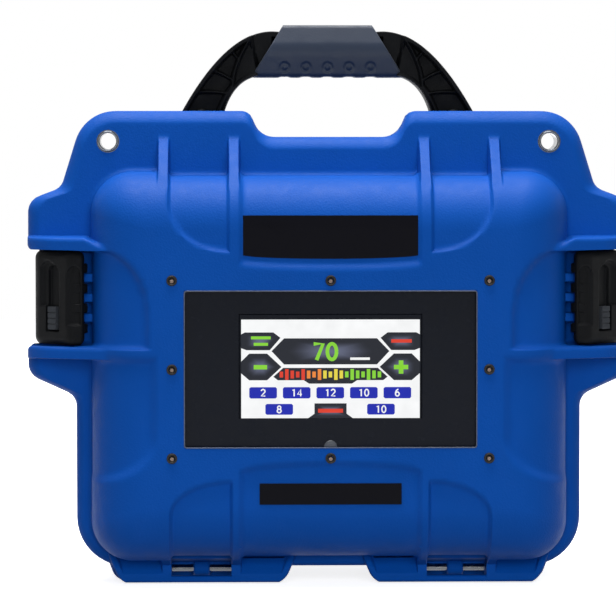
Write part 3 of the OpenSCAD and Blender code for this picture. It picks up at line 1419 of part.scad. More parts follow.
module charger_board() color([0.05, 0.3, 0.15]) {
    low_x = charger_x - charger_w / 2;
    block([low_x, charger_y - board_t, shelf_top], [low_x + charger_w, charger_y, shelf_top + charger_h]);
    for (share = charger_cap_shares)
        rod_y(charger_x + share * charger_w, charger_y - board_t - charger_gap, charger_y,
              shelf_top + charger_h / 2, charger_gap);
    block([charger_x, charger_y - board_t - charger_gap, shelf_top + charger_h / 4],
          [charger_x + charger_w / 4, charger_y, shelf_top + charger_h * 3 / 4]);
    block([charger_x + charger_w / 3, charger_y - 2 * board_t, shelf_top + charger_h / 4],
          [low_x + charger_w - charger_gap, charger_y, shelf_top + charger_h / 2]);
    for (share = charger_cap_shares)
        rod_y(charger_x + share * charger_w, charger_y, parts_back_y - sink_d, sink_top - sink_plate / 2,
              sink_plate / 3);
}

module bleed_resistor() color([0.7, 0.6, 0.25]) {
    z = shelf_top + bleed_up;
    block([core_x - bleed_l / 2, chassis_y - bleed_s, z], [core_x + bleed_l / 2, chassis_y, z + bleed_s]);
    rod_x(core_x - bleed_l / 2 - fin_t, core_x + bleed_l / 2 + fin_t, chassis_y - bleed_s / 2, z + bleed_s / 2,
          bleed_s / 4);
}

base_shell();
base_shoulders();
handle_ears();
connector_tub();
lid_shell();
lid_shoulders();
case_seal();
hinge_pins();
lid_eyelets();
base_eyelets();
handle_frame();
handle_grip();
handle_pins();
pressure_valve();
left_latch();
right_latch();
left_latch_lock();
right_latch_lock();
latch_pins();
front_plate();
panel_gasket();
lcd_module();
display_board();
display_standoffs();
panel_screws();
panel_nuts();
upper_label();
lower_label();
connector_plate();
connector_screws();
positive_socket();
positive_contact();
negative_socket();
negative_contact();
gun_socket();
gun_insert();
mains_inlet();
mains_blades();
switch_frame();
switch_rocker();
chassis();
chassis_screws();
capacitor_1();
capacitor_2();
capacitor_3();
capacitor_4();
capacitor_clamp();
positive_bar();
negative_bar();
bar_screws();
positive_strap();
negative_strap();
output_strap();
transformer_core();
transformer_coil();
heat_sink();
thyristor_module();
relay();
charger_board();
bleed_resistor();
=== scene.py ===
import logging
import math
from dataclasses import dataclass, field
from enum import Enum
from typing import Callable, Iterable, Sequence

import bmesh
import bpy
import numpy as np
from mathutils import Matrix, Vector


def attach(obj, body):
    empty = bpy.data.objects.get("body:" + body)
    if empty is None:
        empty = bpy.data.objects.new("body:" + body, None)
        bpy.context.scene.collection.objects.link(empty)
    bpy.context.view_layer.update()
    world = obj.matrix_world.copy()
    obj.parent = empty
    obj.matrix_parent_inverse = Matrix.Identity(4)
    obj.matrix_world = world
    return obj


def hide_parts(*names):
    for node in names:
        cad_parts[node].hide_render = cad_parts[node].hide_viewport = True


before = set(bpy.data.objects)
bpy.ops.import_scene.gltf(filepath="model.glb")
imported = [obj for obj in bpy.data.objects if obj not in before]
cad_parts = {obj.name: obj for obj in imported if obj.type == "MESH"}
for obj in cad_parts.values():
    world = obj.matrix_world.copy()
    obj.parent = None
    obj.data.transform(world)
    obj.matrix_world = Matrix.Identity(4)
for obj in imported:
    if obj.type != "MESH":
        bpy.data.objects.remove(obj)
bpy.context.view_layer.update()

log = logging.getLogger("stud_welder")
MM = 0.001
Array = np.ndarray
Pair = tuple[float, float]
Triple = tuple[float, float, float]
Four = tuple[float, float, float, float]
Tree = bpy.types.NodeTree
Socket = bpy.types.NodeSocket

# A least length, and the shares of a unit direction that make it sideways or straight.
TINY = 1e-6
SIDEWAYS = 0.7
STRAIGHT = 0.99

# Sizes of the slow drift of a finish's tone and of the smears in its gloss, in millimetres.
DRIFT_MM = 45.0
SMEAR_MM = 6.0


# Sizes shared by the sub-assemblies, in millimetres.


@dataclass(frozen=True)
class CaseSizes:
    """Driving sizes of the moulded case, in millimetres, in the frame's axes."""

    half_w: float = 125.2
    low_z: float = 13.0
    top_z: float = 218.0
    corner_r: float = 22.0
    face_r: float = 30.0
    scoop_d: float = 2.3
    guard_x: float = 159.0
    bay_x: float = 134.0
    bay_low: float = 126.5
    bay_high: float = 177.0
    part_y: float = -25.6
    face_y: float = -74.6
    back_y: float = 76.0
    lid_flange_y: float = -37.6
    base_flange_y: float = -13.6
    top: float = 250.0
    notch_z: float = 236.3
    rib_t: float = 5.3
    guard_t: float = 6.8
    rib_in_x: float = 49.0
    rib_out_x: float = 86.0
    gusset_t: float = 6.0
    gusset_in_x: float = 50.2
    gusset_out_x: float = 87.2
    eye_x: float = 116.5
    eye_z: float = 234.0
    hinge_z: float = 6.7
    panel_z: float = 115.5
    window_w: float = 152.0
    window_h: float = 81.5
    latch_z: float = 151.75
    latch_h: float = 49.0
    pin_x: float = 131.5
    pin_y: float = -51.6
    lug_t: float = 4.6
    lug_pitch: float = 10.5
    screw_x: float = 82.5
    screw_z: float = 46.25

    @property
    def mid_z(self) -> float:
        """Height of the middle of the body, in millimetres."""
        return (self.low_z + self.top_z) / 2

    @property
    def half_h(self) -> float:
        """Half the height of the body, in millimetres."""
        return (self.top_z - self.low_z) / 2

    @property
    def hinge_x(self) -> float:
        """Place across of the middle of a hinge, in millimetres."""
        return (self.rib_in_x + self.rib_out_x) / 2


CASE = CaseSizes()


class Body(str, Enum):
    """Moving bodies of the frame that pieces ride on."""

    BASE = "base"
    LID = "lid"
    LEFT_LATCH = "left_latch"
    RIGHT_LATCH = "right_latch"
    HANDLE = "handle"


class Side(int, Enum):
    """The two sides of the case, with the sign of their X axis."""

    LEFT = -1
    RIGHT = 1


# Materials


def linear(colour: str) -> Four:
    """Turns an sRGB hex colour into linear light.

    Args:
        colour: Six hex digits after a hash sign.

    Returns:
        Linear red, green, blue and full alpha.
    """
    parts = [int(colour[i:i + 2], 16) / 255 for i in (1, 3, 5)]
    return (*[c / 12.92 if c <= 0.04045 else ((c + 0.055) / 1.055) ** 2.4 for c in parts], 1.0)


def add_node(tree: Tree, kind: str, settings: dict[str, str] | None = None,
             **inputs: object) -> bpy.types.Node:
    """Adds one shader node, sets its options and fills or links its inputs.

    Args:
        tree: The node tree to add to.
        kind: The node's type name after "ShaderNode".
        settings: Attributes of the node itself.
        **inputs: Values or output sockets, by input name with underscores for spaces, or by number as i0.

    Returns:
        The new node.
    """
    made = tree.nodes.new("ShaderNode" + kind)
    for key, value in (settings or {}).items():
        setattr(made, key, value)
    for key, value in inputs.items():
        numbered = key[0] == "i" and key[1:].isdigit()
        socket = made.inputs[int(key[1:]) if numbered else key.replace("_", " ")]
        if isinstance(value, Socket):
            tree.links.new(value, socket)
        else:
            socket.default_value = value
    return made


def fresh_tree(owner: bpy.types.Material | bpy.types.World) -> Tree:
    """Gives a material or a world an empty node tree.

    Args:
        owner: The material or the world.

    Returns:
        Its tree.
    """
    owner.use_nodes = True
    owner.node_tree.nodes.clear()
    return owner.node_tree


class Grain(Enum):
    """Surface pattern of a finish."""

    MOULDED = "moulded"
    BRUSHED = "brushed"
    LAYERED = "layered"
    CIRCUIT = "circuit"
    SMOOTH = "smooth"


@dataclass(frozen=True)
class Finish:
    """One real material with its tone, gloss, grain and wear.

    The tone drifts with a slow noise, the gloss with a middle one, and the bump is the grain.
    """

    name: str
    colour: str
    roughness: float
    metallic: float = 0.0
    grain: Grain = Grain.MOULDED
    grain_mm: float = 0.8
    bump_mm: float = 0.02
    wear: float = 0.12
    second: str | None = None
    sheen: float = 0.0
    specular: float = 0.5

    def material(self) -> bpy.types.Material:
        """Builds the material once and gives it again afterwards.

        Returns:
            The material.
        """
        known = bpy.data.materials.get(self.name)
        if known:
            return known
        made = bpy.data.materials.new(self.name)
        tree = fresh_tree(made)
        place = add_node(tree, "TexCoord").outputs["Object"]
        slow = add_node(tree, "TexNoise", Vector=place, Scale=1 / (DRIFT_MM * MM), Detail=3.0).outputs["Fac"]
        smear = add_node(tree, "TexNoise", Vector=place, Scale=1 / (SMEAR_MM * MM),
                         Detail=5.0).outputs["Fac"]
        base = linear(self.colour)
        dark = tuple(c * (1 - self.wear) for c in base[:3]) + (1.0,)
        light = tuple(min(c * (1 + self.wear) + 0.004 * self.wear, 1) for c in base[:3]) + (1.0,)
        drift = add_node(tree, "MixRGB", i0=slow, i1=dark, i2=light).outputs["Color"]
        height, colour = self._grain(tree, place, drift)
        gloss = add_node(tree, "MapRange", Value=smear, From_Min=0.3, From_Max=0.7,
                         To_Min=max(self.roughness - 0.35 * self.wear, 0.03),
                         To_Max=min(self.roughness + 0.6 * self.wear, 1.0)).outputs["Result"]
        bump = add_node(tree, "Bump", Strength=1.0, Distance=self.bump_mm * MM, Height=height)
        shader = add_node(tree, "BsdfPrincipled", Base_Color=colour, Roughness=gloss, Metallic=self.metallic,
                          Normal=bump.outputs["Normal"], Sheen_Weight=self.sheen,
                          Specular_IOR_Level=self.specular)
        add_node(tree, "OutputMaterial", Surface=shader.outputs["BSDF"])
        return made

    def _grain(self, tree: Tree, place: Socket,
               colour: Socket) -> tuple[Socket, Socket]:
        """Adds the nodes of the grain.

        Args:
            tree: The material's node tree.
            place: Object coordinates.
            colour: The drifting base colour.

        Returns:
            The height for the bump and the colour with the pattern in it.
        """
        scale = 1 / (self.grain_mm * MM)
        second = linear(self.second or self.colour)
        if self.grain is Grain.BRUSHED:
            long = add_node(tree, "Mapping", Vector=place, Scale=(0.04, 1.0, 1.0)).outputs["Vector"]
            lines = add_node(tree, "TexNoise", Vector=long, Scale=scale, Detail=4.0).outputs["Fac"]
            tone = add_node(tree, "MixRGB", {"blend_type": "MULTIPLY"}, i0=0.25, i1=colour, i2=lines)
            return lines, tone.outputs["Color"]
        if self.grain is Grain.LAYERED:
            bands = add_node(tree, "TexWave", {"bands_direction": "Y"}, Vector=place, Scale=scale / 6.0,
                             Distortion=0.4, Detail=1.0).outputs["Fac"]
            return bands, add_node(tree, "MixRGB", i0=bands, i1=colour, i2=second).outputs["Color"]
        if self.grain is Grain.CIRCUIT:
            upright = add_node(tree, "Mapping", Vector=place, Rotation=(math.radians(90), 0.0, 0.0))
            cells = add_node(tree, "TexBrick", Vector=upright.outputs["Vector"], Scale=scale / 4,
                             Mortar_Size=0.03).outputs["Fac"]
            return cells, add_node(tree, "MixRGB", i0=cells, i1=colour, i2=second).outputs["Color"]
        fine = add_node(tree, "TexNoise", Vector=place, Scale=scale, Detail=3.0,
                        Roughness=0.6).outputs["Fac"]
        if self.grain is Grain.SMOOTH:
            return fine, colour
        cells = add_node(tree, "TexVoronoi", {"feature": "SMOOTH_F1"}, Vector=place, Scale=scale * 0.7,
                         Smoothness=0.6).outputs["Distance"]
        return add_node(tree, "Math", {"operation": "MULTIPLY"}, i0=fine, i1=cells).outputs["Value"], colour


CASE_BLUE = Finish("blue_moulded_plastic", "#0649a0", 0.54, grain_mm=0.75, bump_mm=0.15, wear=0.1,
                   specular=0.12)
BLACK_PLASTIC = Finish("black_moulded_plastic", "#0b0c0e", 0.46, grain_mm=0.6, bump_mm=0.1, wear=0.22,
                       specular=0.06)
GRIP_RUBBER = Finish("grey_soft_rubber", "#1b2536", 0.4, grain_mm=0.5, bump_mm=0.05, wear=0.15, sheen=0.08,
                     specular=0.25)
SEAL_RUBBER = Finish("black_foam_rubber", "#121212", 0.85, grain_mm=0.4, bump_mm=0.12, wear=0.2)
STEEL = Finish("plated_steel", "#c9c9c6", 0.26, 1.0, Grain.BRUSHED, 0.3, 0.01, 0.2)
WORN_STEEL = Finish("worn_plated_steel", "#7f8184", 0.2, 1.0, Grain.SMOOTH, 0.6, 0.02, 0.3)
EYELET_STEEL = Finish("dull_plated_steel", "#666a70", 0.08, 1.0, Grain.SMOOTH, 0.6, 0.004, 0.3)
BLACK_STEEL = Finish("black_oxide_steel", "#2c2a29", 0.4, 0.3, Grain.SMOOTH, 0.4, 0.01, 0.25, specular=0.12)
# Brownish steel of the discs low in the screw bowls: the socket's bare steel, made paler as painted light on
# the lower side of each socket.
SOCKET_STEEL_PAINTED_LIGHT = Finish("socket_steel_painted_light", "#8d7b72", 0.45, 0.2, Grain.SMOOTH, 0.3, 0.01, 0.3, specular=0.15)
# Pale blue-grey of the bead round the panel's edge: painted highlight along the edge, which the lamps shade
# further from top to bottom.
EDGE_HIGHLIGHT_PAINT = Finish("panel_edge_painted_highlight", "#4a5266", 0.25, grain=Grain.SMOOTH, grain_mm=1.5,
                    bump_mm=0.004, wear=0.2, specular=0.3)
LOCK_PLASTIC = Finish("grey_moulded_plastic", "#33363b", 0.5, grain_mm=0.6, bump_mm=0.08, wear=0.25,
                      specular=0.08)
PANEL_BLACK = Finish("black_gloss_film", "#0b0f18", 0.24, grain=Grain.SMOOTH, grain_mm=1.4, bump_mm=0.002,
                     wear=0.1, specular=0.08)
PAD_GREY = Finish("grey_vinyl_pad", "#3b3f45", 0.4, grain=Grain.SMOOTH, grain_mm=0.5, bump_mm=0.01,
                  wear=0.2)
LABEL_BLACK = Finish("black_label_film", "#0a0a10", 0.3, grain=Grain.SMOOTH, grain_mm=0.9, bump_mm=0.002,
                     wear=0.08, specular=0.04)
CIRCUIT_GREEN = Finish("green_solder_mask", "#1b5a35", 0.4, grain=Grain.CIRCUIT, grain_mm=2.0, bump_mm=0.02,
                       wear=0.15, second="#3f7c4c")
BRASS = Finish("machined_brass", "#c7a55a", 0.3, 1.0, Grain.BRUSHED, 0.3, 0.01, 0.2)
ALUMINIUM = Finish("rolled_aluminium", "#b9bbbe", 0.38, 1.0, Grain.BRUSHED, 0.35, 0.012, 0.15)
RED_PLASTIC = Finish("red_moulded_plastic", "#a3180f", 0.32, grain_mm=0.7, bump_mm=0.03, wear=0.15,
                     specular=0.15)
BLACK_GLOSS = Finish("black_gloss_plastic", "#141416", 0.26, grain=Grain.SMOOTH, grain_mm=0.8, bump_mm=0.01,
                     wear=0.2, specular=0.15)
NICKEL = Finish("nickel_plate", "#aeb0b2", 0.22, 1.0, Grain.SMOOTH, 0.5, 0.006, 0.18)
SLEEVE = Finish("blue_shrink_sleeve", "#1d2f66", 0.28, grain=Grain.SMOOTH, grain_mm=1.2, bump_mm=0.02,
                wear=0.2)
COPPER = Finish("bare_copper", "#c27a52", 0.34, 1.0, Grain.BRUSHED, 0.4, 0.015, 0.3)
CORE_STEEL = Finish("laminated_core_steel", "#55565a", 0.5, 0.7, Grain.LAYERED, 0.5, 0.05, 0.25, "#33343a")
WINDING = Finish("yellow_winding_tape", "#a87a22", 0.5, grain=Grain.LAYERED, grain_mm=4.0, bump_mm=0.08,
                 wear=0.25, second="#8f6417")
EPOXY = Finish("cream_epoxy", "#bdb5a3", 0.5, grain_mm=0.9, bump_mm=0.04, wear=0.15)
RELAY_BLUE = Finish("blue_relay_case", "#27508f", 0.34, grain_mm=0.8, bump_mm=0.02, wear=0.15)
GOLD_ALUMINIUM = Finish("gold_anodised_aluminium", "#b8923c", 0.36, 1.0, Grain.BRUSHED, 0.4, 0.02, 0.2)

# CAD nodes that are shown as they are, by finish.
NODE_FINISH: dict[Finish, str] = {
    CASE_BLUE: "handle_ears",
    BLACK_PLASTIC: "connector_tub pressure_valve",
    SEAL_RUBBER: "case_seal panel_gasket",
    WORN_STEEL: "hinge_pins handle_pins latch_pins",
    LOCK_PLASTIC: "left_latch_lock right_latch_lock",
    PANEL_BLACK: "front_plate lcd_module",
    CIRCUIT_GREEN: "display_board charger_board",
    BRASS: "display_standoffs positive_contact negative_contact mains_blades",
    STEEL: "panel_nuts connector_screws chassis_screws bar_screws",
    ALUMINIUM: "connector_plate chassis capacitor_clamp heat_sink",
    RED_PLASTIC: "positive_socket switch_rocker",
    BLACK_GLOSS: "negative_socket gun_insert mains_inlet switch_frame",
    NICKEL: "gun_socket",
    SLEEVE: "capacitor_1 capacitor_2 capacitor_3 capacitor_4",
    COPPER: "positive_bar negative_bar positive_strap negative_strap output_strap",
    CORE_STEEL: "transformer_core",
    WINDING: "transformer_coil",
    EPOXY: "thyristor_module",
    RELAY_BLUE: "relay",
    GOLD_ALUMINIUM: "bleed_resistor",
}


# Surfaces


def smooth_step(value: Array, width: float) -> Array:
    """Rises from 0 to 1 as a signed distance goes from minus half a width to plus half of it.

    Args:
        value: Signed distances, positive inside.
        width: Width of the rise.

    Returns:
        The eased share, cubic in between.
    """
    t = np.clip(value / width + 0.5, 0, 1)
    return t * t * (3 - 2 * t)


def rounded_outline(corners: Sequence[Triple], steps: int = 10) -> Array:
    """Rounds the corners of a polygon: each corner becomes an arc tangent to both of its sides.

    Args:
        corners: Each corner as x, y and radius.
        steps: Steps of each arc.

    Returns:
        The outline's points, shape (n, 2).
    """
    made: list[Array] = []
    at = np.array(corners, float)
    for i, (x, y, r) in enumerate(at):
        here = np.array([x, y])
        if r <= 0:
            made.append(here[None])
            continue
        a = at[i - 1, :2] - here
        b = at[(i + 1) % len(at), :2] - here
        a, b = a / np.linalg.norm(a), b / np.linalg.norm(b)
        half = math.acos(np.clip(a @ b, -1, 1)) / 2
        mid = here + (a + b) / np.linalg.norm(a + b) * r / math.sin(half)
        start, end = [here + v * r / math.tan(half) - mid for v in (a, b)]
        first = math.atan2(start[1], start[0])
        sweep = (math.atan2(end[1], end[0]) - first + 3 * math.pi) % (2 * math.pi) - math.pi
        turn = first + sweep * np.linspace(0, 1, steps + 1)
        made.append(mid + r * np.stack([np.cos(turn), np.sin(turn)], 1))
    return np.concatenate(made)


def rolled(distance: Array, radius: float) -> Array:
    """How far a quarter-round edge falls away: its radius less the height of its circle.

    Args:
        distance: Distances in from the edge.
        radius: Radius of the edge.

    Returns:
        The falls, which are nothing beyond the radius.
    """
    short = np.clip(radius - distance, 0, radius)
    return radius - np.sqrt(np.clip(radius ** 2 - short ** 2, 0, radius ** 2))


def evenly(outline: Array, count: int) -> Array:
    """Places points at equal steps along a closed outline.

    Args:
        outline: Corners of the outline, shape (n, 2).
        count: How many points.

    Returns:
        The points, shape (count, 2).
    """
    loop = np.concatenate([outline, outline[:1]])
    length = np.concatenate([[0], np.cumsum(np.hypot(*np.diff(loop, axis=0).T))])
    at = np.linspace(0, length[-1], count, endpoint=False)
    return np.stack([np.interp(at, length, loop[:, i]) for i in (0, 1)], 1)


def outward_of(path: Array) -> Array:
    """Directions out of a closed path: the line between a point's neighbours, turned by a right angle.

    Args:
        path: Points of the path in anticlockwise order, shape (n, 2).

    Returns:
        Unit directions, shape (n, 2).
    """
    ahead = np.roll(path, -1, 0) - np.roll(path, 1, 0)
    ahead /= np.linalg.norm(ahead, axis=1, keepdims=True)
    return np.stack([ahead[:, 1], -ahead[:, 0]], 1)


def skirted(points: Array) -> tuple[Array, Array]:
    """Doubles the border of a grid, so that the new border can be turned back as a skirt.

    Args:
        points: The grid, shape (rows, columns, 3).

    Returns:
        The wider grid, and which of its points are the new border.
    """
    whole = np.pad(points, ((1, 1), (1, 1), (0, 0)), mode="edge")
    border = np.ones(whole.shape[:2], bool)
    border[1:-1, 1:-1] = False
    return whole, border


def grid_faces(rows: int, cols: int, wrap_cols: bool = False, keep: Array | None = None) -> Array:
    """Joins a grid of vertices, numbered row by row, into quads.

    Args:
        rows: Rows of vertices.
        cols: Columns of vertices.
        wrap_cols: Joins the last column to the first.
        keep: Which quads to keep, shape (rows - 1, quad columns).

    Returns:
        Vertex numbers of the quads, shape (n, 4).
    """
    r = np.arange(rows - 1)[:, None]
    c = np.arange(cols if wrap_cols else cols - 1)[None]
    d = (c + 1) % cols
    quads = np.stack([r * cols + c, r * cols + d, (r + 1) * cols + d, (r + 1) * cols + c], -1)
    return quads[keep] if keep is not None else quads.reshape(-1, 4)


@dataclass
class Surface:
    """Vertices in millimetres and polygons."""

    points: Array
    faces: list[Array] = field(default_factory=list)

    def mirrored(self) -> "Surface":
        """The mirror image across the middle plane, with its faces turned to stay outward."""
        return Surface(self.points * [-1, 1, 1], [f[:, ::-1] for f in self.faces])

    def paired(self) -> "Surface":
        """The surface together with its mirror image."""
        return together([self, self.mirrored()])

    def flipped(self) -> "Surface":
        """The surface with its faces turned to the other side."""
        return Surface(self.points, [f[:, ::-1] for f in self.faces])


def grid(points: Array, wrap: bool = False, keep: Array | None = None) -> Surface:
    """Makes a surface of a grid of points.

    Args:
        points: The grid, shape (rows, columns, 3).
        wrap: Joins the last column to the first.
        keep: Which quads to keep.

    Returns:
        The surface.
    """
    return Surface(points.reshape(-1, 3), [grid_faces(*points.shape[:2], wrap, keep)])


def together(pieces: Sequence[Surface]) -> Surface:
    """Puts surfaces into one.

    Args:
        pieces: The surfaces.

    Returns:
        The joined surface.
    """
    starts = np.cumsum([0] + [len(p.points) for p in pieces])
    faces = [f + start for p, start in zip(pieces, starts) for f in p.faces]
    return Surface(np.concatenate([p.points for p in pieces]), faces)


def build(name: str, surface: Surface, finish: Finish, body: Body, replaces: Iterable[str] = (),
          sharp_deg: float = 40.0, bevel_mm: float = 0.0, outward: bool = False) -> None:
    """Makes an object of a surface and hands it to the frame.

    Args:
        name: Name of the piece.
        surface: Its surface, in millimetres.
        finish: Its material.
        body: The body that it rides on.
        replaces: CAD nodes that it stands for.
        sharp_deg: Edges sharper than this stay sharp.
        bevel_mm: Width of a live bevel on the sharp edges.
        outward: Turns the faces of a closed surface outward.
    """
    mesh = bpy.data.meshes.new(name)
    sizes = np.concatenate([np.full(len(f), f.shape[1]) for f in surface.faces])
    loops = np.concatenate([f.ravel() for f in surface.faces]).astype(np.int32)
    mesh.vertices.add(len(surface.points))
    mesh.vertices.foreach_set("co", (surface.points * MM).astype(np.float32).ravel())
    mesh.loops.add(len(loops))
    mesh.loops.foreach_set("vertex_index", loops)
    mesh.polygons.add(len(sizes))
    starts = np.concatenate([[0], np.cumsum(sizes)[:-1]]).astype(np.int32)
    mesh.polygons.foreach_set("loop_start", starts)
    mesh.update(calc_edges=True)
    work = bmesh.new()
    work.from_mesh(mesh)
    bmesh.ops.remove_doubles(work, verts=work.verts, dist=0.004 * MM)
    bmesh.ops.dissolve_degenerate(work, edges=work.edges, dist=0.002 * MM)
    if outward:
        bmesh.ops.recalc_face_normals(work, faces=work.faces)
    work.to_mesh(mesh)
    work.free()
    mesh.polygons.foreach_set("use_smooth", np.ones(len(mesh.polygons), bool))
    mesh.set_sharp_from_angle(angle=math.radians(sharp_deg))
    made = bpy.data.objects.new(name, mesh)
    bpy.context.scene.collection.objects.link(made)
    mesh.materials.append(finish.material())
    if bevel_mm:
        soften(made, bevel_mm)
    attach(made, body.value)
    if replaces:
        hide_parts(*replaces)
    log.info("%s: %d faces", name, len(mesh.polygons))


def soften(obj: bpy.types.Object, width_mm: float, weld: bool = False, segments: int = 3) -> None:
    """Rounds the sharp edges of an object with live modifiers.

    Args:
        obj: The object.
        width_mm: Width of the rounding.
        weld: Joins loose triangles first, and those of one plane into one face.
        segments: Steps of the rounding.
    """
    if weld:
        obj.modifiers.new("weld", "WELD").merge_threshold = 0.002 * MM
        flat = obj.modifiers.new("flat", "DECIMATE")
        flat.decimate_type = "DISSOLVE"
        flat.angle_limit = math.radians(0.5)
    bevel = obj.modifiers.new("bevel", "BEVEL")
    bevel.width = width_mm * MM
    bevel.segments = segments
    bevel.limit_method = "ANGLE"
    bevel.angle_limit = math.radians(32)
    bevel.use_clamp_overlap = True
    bevel.harden_normals = False
    obj.modifiers.new("normals", "WEIGHTED_NORMAL").keep_sharp = False


def prism(outline: Array, low: float, high: float, axis: int) -> Surface:
    """Carries a closed outline straight along one axis, with a flat cap on each end.

    Args:
        outline: Points in the plane of the other two axes, in the order X, Y, Z.
        low: Where it starts.
        high: Where it ends.
        axis: 0 for X, 1 for Y, 2 for Z.

    Returns:
        The closed surface.
    """
    n = len(outline)
    others = [k for k in range(3) if k != axis]
    points = np.zeros((2, n, 3))
    points[..., others] = outline
    points[0, :, axis], points[1, :, axis] = low, high
    cap = np.arange(n)[None]
    return Surface(points.reshape(-1, 3), [grid_faces(2, n, True), cap[:, ::-1], cap + n])


def box(low: Sequence[float], high: Sequence[float]) -> Surface:
    """A block between two corners.

    Args:
        low: Lowest corner.
        high: Highest corner.

    Returns:
        The closed surface.
    """
    return prism(np.array([(low[0], low[1]), (high[0], low[1]), (high[0], high[1]), (low[0], high[1])]),
                 low[2], high[2], 2)


def lathe(profile: Array, centre: Sequence[float], axis: int, steps: int = 40) -> Surface:
    """Turns a profile of radius and height about an axis through a full circle.

    Args:
        profile: Radius and place along the axis, shape (n, 2).
        centre: A point on the axis.
        axis: 0 for X, 1 for Y, 2 for Z.
        steps: Steps round the circle.

    Returns:
        The surface of revolution.
    """
    turn = np.linspace(0, 2 * np.pi, steps, endpoint=False)
    others = [k for k in range(3) if k != axis]
    points = np.zeros((len(profile), steps, 3))
    points[..., others[0]] = profile[:, :1] * np.cos(turn)
    points[..., others[1]] = profile[:, :1] * np.sin(turn)
    points[..., axis] = profile[:, 1:]
    return grid(points + np.array(centre), True)


def refined(end: float, step: float, edges: Sequence[float], soft: float) -> Array:
    """Places from minus an end to plus it, closer together at the edges of features.

    Args:
        end: Half the length.
        step: Plain spacing.
        edges: Places of the edges.
        soft: Width of the zone round each edge.

    Returns:
        The places in rising order.
    """
    plain = np.linspace(-end, end, int(round(2 * end / step)) + 1)
    at, shares = np.array(edges)[:, None], np.array([0.1, 0.3, 0.5, 0.75])
    near = (at + soft * np.concatenate([-shares, shares])).ravel()
    near = near[np.abs(near) < end]
    clear = 0.8 * soft
    far = np.abs(plain - at).min(0) > clear
    far[[0, -1]] = True
    return np.unique(np.round(np.concatenate([plain[far], near]), 4))


# The moulded halves


@dataclass(frozen=True)
class FlangeOutline:
    """Outline of the flange seen from the front, with its guards, shoulders and handle notch.

    A corner is given by its place across, its height where the case doesn't say it, and its radius.
    """

    low: Triple = (133.5, 9.0, 26.0)
    ramp: Triple = (133.5, 99.0, 8.0)
    guard_z: Pair = (110.5, 203.0)
    guard_r: float = 9.0
    mouth_r: float = 3.0
    shoulder: Triple = (141.5, 209.5, 8.0)
    crown: Pair = (129.0, 22.0)
    notch_top: Pair = (41.5, 6.4)
    notch_low: Pair = (37.0, 11.5)

    def points(self, bay_grow: float) -> Array:
        """Rounds the corners of the right half and of its mirror image.

        Args:
            bay_grow: How much deeper the latch bays are.

        Returns:
            The outline, shape (n, 2).
        """
        c, x, r, mouth = CASE, CASE.guard_x, self.guard_r, self.mouth_r
        low, high = c.bay_low - bay_grow, c.bay_high + bay_grow
        half = [
            self.low, self.ramp, (x, self.guard_z[0], r), (x, low, mouth), (c.bay_x, low, 0.0),
            (c.bay_x, high, 0.0), (x, high, mouth), (x, self.guard_z[1], r), self.shoulder,
            (self.crown[0], c.top, self.crown[1]), (self.notch_top[0], c.top, self.notch_top[1]),
            (self.notch_low[0], c.notch_z, self.notch_low[1])]
        return rounded_outline(half + [(-x, z, r) for x, z, r in half[::-1]])


